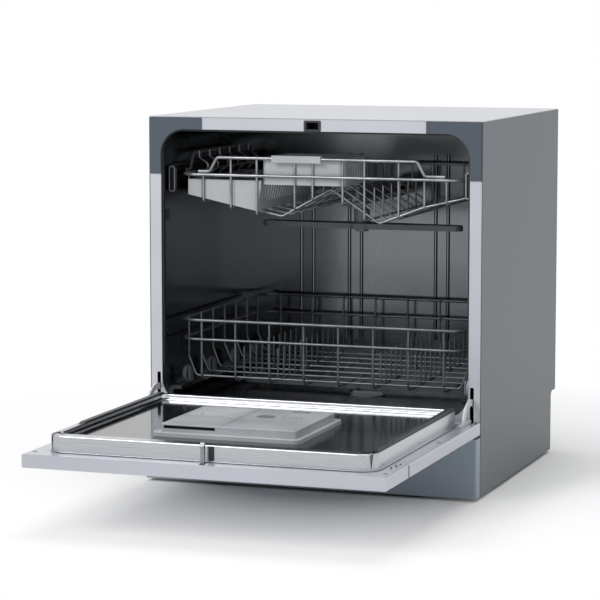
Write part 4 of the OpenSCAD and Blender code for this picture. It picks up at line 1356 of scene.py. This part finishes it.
@dataclass
class Fastenings(Maker):
    """Screws on the door's border and the back, eyelets on the border, and the joint's strips."""

    head: float = 3.6
    head_height: float = 1.2
    head_edge: float = 0.5
    head_sides: int = 24
    cross: float = 0.6
    cross_half: float = 0.5
    cross_depth: float = 3.0
    door_margin: float = 10.0
    # the rows of door screws, behind the nose and before the hinge
    door_rows: Tuple[float, float] = (24.0, 190.0)
    door_drop: float = 0.05
    back_margin: float = 13.0
    back_top: float = 14.0
    back_heights: Tuple[float, ...] = (112.0, 340.0)
    back_proud: float = 0.5
    eyelet: float = 1.5
    eyelet_height: float = 0.8
    eyelet_rise: float = 0.3
    eyelet_wall: float = 0.5
    eyelet_sides: int = 16
    # places against the door's right edge and nose
    eyelets: Tuple[Tuple[float, float], ...] = (
        (-13.5, 62.0), (-16.5, 72.0), (-11.0, 80.0), (-15.0, 90.0), (-11.5, 100.0))
    strip_half: float = 0.35
    # how far a strip reaches before and behind the joint, and stays inside the door's faces
    strip_reach: Tuple[float, float] = (1.4, 1.8)
    strip_ends: Tuple[float, float] = (1.5, 1.0)
    strip_round: float = 0.15

    def build(self) -> None:
        """Set the joint strips, the screws and the eyelets."""
        low, high = span("door_panel")
        self._strips(low, high)
        face = high[2] - self.door_drop
        nose = span("control_fascia")[0][1]
        rows = (nose + self.door_rows[0], high[1] - self.door_rows[1])
        edge = high[0] - self.door_margin
        spots = [(side * edge, y, face) for y in rows for side in (-1, 1)]
        self._spread(self._screw("door_screw_1", "Z", spots[0]), spots, "door", Finish.BRACKET)
        spots = [(high[0] + x, nose + y, face + self.eyelet_rise) for x, y in self.eyelets]
        self._spread(self._eyelet("door_eyelet_1", spots[0]), spots, "door", Finish.DARK)
        high = span("back_panel")[1]
        back, top = high[1] + self.back_proud, high[2] - self.back_top
        edge = high[0] - self.back_margin
        spots = [(side * edge, back, z) for z in (*self.back_heights, top) for side in (-1, 1)]
        spots += [(0.0, back, top), (0.0, back, self.back_heights[0])]
        self._spread(self._screw("back_screw_1", "Y", spots[0]), spots, "cabinet", Finish.BRACKET)

    def _screw(self, name: str, axis: str, spot: Triple) -> bpy.types.Object:
        """Build one screw head with its cross cut.

        Args:
            name: the piece's name.
            axis: the axis whose far side the head faces.
            spot: the head's middle.

        Returns:
            The screw head.
        """
        screw = Bench.drum(name, spot, self.head, self.head_height, axis, self.head_sides)
        Bench.soften(screw, self.head_edge)
        reach, out = self.head * self.cross, "XYZ".index(axis)
        for along in (side for side in range(3) if side != out):
            low = [value - self.cross_half for value in spot]
            high = [value + self.cross_half for value in spot]
            low[along], high[along] = spot[along] - reach, spot[along] + reach
            low[out], high[out] = spot[out], spot[out] + self.cross_depth
            Bench.carve(screw, Bench.block("cross", tuple(low), tuple(high)))
        return Bench.close(screw)

    def _eyelet(self, name: str, spot: Triple) -> bpy.types.Object:
        """Build one small eyelet.

        Args:
            name: the piece's name.
            spot: its middle.

        Returns:
            The eyelet.
        """
        eyelet = Bench.drum(name, spot, self.eyelet, self.eyelet_height, "Z", self.eyelet_sides)
        Bench.dish(eyelet, looks_up, self.eyelet_wall, (0.0, 0.0, -self.eyelet_wall))
        return Bench.close(eyelet)

    def _spread(self, first: bpy.types.Object, spots: Sequence[Triple], body: str,
                finish: Finish) -> None:
        """Set a fastening and its copies on a body.

        Args:
            first: the fastening at the first spot, whose name ends in 1.
            spots: the middles of all of them.
            body: the body they move with.
            finish: what they wear.
        """
        for index, spot in enumerate(spots, 1):
            step = tuple(here - there for here, there in zip(spot, spots[0]))
            piece = first if index == 1 else Bench.copy(first, f"{first.name[:-1]}{index}", step)
            self.fit(piece, body, finish, "bracket_steel")

    def _strips(self, low: Triple, high: Triple) -> None:
        """Fill the joint between the door and its fascia with a dark strip on each side.

        Args:
            low: the door panel's lowest corner.
            high: its highest corner.
        """
        joint, half = span("control_fascia")[1][1], self.strip_half
        near, far = joint - self.strip_reach[0], joint + self.strip_reach[1]
        foot, head = low[2] + self.strip_ends[0], high[2] - self.strip_ends[1]
        for name, side in (("left", low[0]), ("right", high[0])):
            strip = Bench.block(f"door_joint_{name}", (side - half, near, foot),
                                (side + half, far, head))
            Bench.soften(strip, self.strip_round, segments=2)
            Bench.close(strip)
            self.fit(strip, "door", Finish.DARK, "dark_plastic")


# ---------------------------------------------------------------- studio
@dataclass(frozen=True)
class Lamp:
    """One square soft lamp: its place, aim and side in metres, and its power in watts."""

    name: str
    place: Triple
    aim: Triple
    side: float
    power: float

    def hang(self) -> None:
        """Hang the lamp and turn it to its aim."""
        data = bpy.data.lights.new(self.name, "AREA")
        data.shape = "SQUARE"
        data.size = self.side
        data.energy = self.power
        lamp = bpy.data.objects.new(self.name, data)
        bpy.context.scene.collection.objects.link(lamp)
        lamp.location = self.place
        way = Vector(self.aim) - Vector(self.place)
        lamp.rotation_euler = way.to_track_quat("-Z", "Y").to_euler()


@dataclass
class Studio:
    """White seamless floor, soft lamps, and the camera at the chosen view, in metres."""

    floor_z: float = -0.005
    floor_side: float = 40.0
    near: float = 0.3
    far: float = 1.0
    ambient: float = 0.45
    lamps: Tuple[Lamp, ...] = (
        Lamp("key", (-1.9, -3.4, 2.7), (0.0, -0.1, 0.3), 1.8, 84.0),
        Lamp("top", (0.1, 0.0, 3.2), (0.0, 0.0, 0.4), 2.0, 44.0),
        Lamp("fill", (3.2, -2.0, 1.4), (0.0, 0.0, 0.3), 1.8, 8.0),
    )
    eye: Triple = (1.306, -4.003, 0.769)
    yaw: float = 19.416
    pitch: float = 6.773
    lens: float = 153.429
    sensor: float = 36.0
    sight: float = 60.0

    def build(self) -> None:
        """Build the floor, the world, the lamps and the camera."""
        self._floor()
        self._world()
        for lamp in self.lamps:
            lamp.hang()
        self._camera()

    @staticmethod
    def _seen(recipe: Recipe) -> Signal:
        """Give 1 for what the eye, gloss and clear pieces see, and 0 for plain light.

        Args:
            recipe: the recipe that the nodes go into.

        Returns:
            The signal.
        """
        eye, gloss, through = (
            recipe.node("ShaderNodeLightPath", {}, {}, f"Is {kind} Ray")
            for kind in ("Camera", "Glossy", "Transmission"))
        return (eye + gloss + through).capped()

    def _floor(self) -> None:
        """Lay the floor: matt white under the machine, pure white further out."""
        Bench.clear()
        bpy.ops.mesh.primitive_plane_add(size=self.floor_side, location=(0.0, 0.0, self.floor_z))
        floor = Bench.settle("studio_floor")
        recipe = Recipe("studio_floor")
        spot = recipe.place()
        grain = recipe.noise(spot, scale=3.0, detail=2.0)
        plain = recipe.shader(
            Base_Color=recipe.blend(grain, tone(251, 251, 251), WHITE),
            Roughness=0.8,
            Specular_IOR_Level=0.0,
        )
        glow = recipe.node("ShaderNodeEmission", {}, {"Color": WHITE, "Strength": 1.0})
        reach = recipe.node("ShaderNodeVectorMath", {"operation": "LENGTH"}, {0: spot}, "Value")
        away = ((reach - self.near) * (1.0 / (self.far - self.near))).capped()
        share = away * self._seen(recipe)
        mixed = recipe.node("ShaderNodeMixShader", {}, {0: share, 1: plain, 2: glow})
        floor.data.materials.append(recipe.finish(mixed))

    def _world(self) -> None:
        """Light the scene evenly, and show white behind it."""
        world = bpy.data.worlds.new("studio_world")
        bpy.context.scene.world = world
        world.use_nodes = True
        recipe = Recipe.on(world.node_tree)
        soft = recipe.node("ShaderNodeBackground", {}, {"Color": WHITE, "Strength": self.ambient})
        shown = recipe.node("ShaderNodeBackground", {}, {"Color": WHITE, "Strength": 1.0})
        mixed = recipe.node("ShaderNodeMixShader", {}, {0: self._seen(recipe), 1: soft, 2: shown})
        recipe.node("ShaderNodeOutputWorld", {}, {"Surface": mixed})

    def _camera(self) -> None:
        """Stand the camera at its place."""
        data = bpy.data.cameras.new("camera")
        data.lens = self.lens
        data.sensor_width = self.sensor
        data.clip_end = self.sight
        camera = bpy.data.objects.new("camera", data)
        bpy.context.scene.collection.objects.link(camera)
        camera.location = self.eye
        camera.rotation_euler = (math.radians(90.0 - self.pitch), 0.0, math.radians(self.yaw))
        bpy.context.scene.camera = camera


def main() -> None:
    """Build the whole scene in order."""
    logging.basicConfig(level=logging.INFO, format="%(message)s")
    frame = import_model()
    bpy.context.scene.view_settings.view_transform = "Standard"
    wardrobe = Wardrobe()
    Dresser(wardrobe).build(frame["nodes"])
    for maker in (DoorLiner, Dispenser, Wheels, RailCaps, Fastenings):
        maker(wardrobe).build()
    Studio().build()


if __name__ == "__main__":
    main()
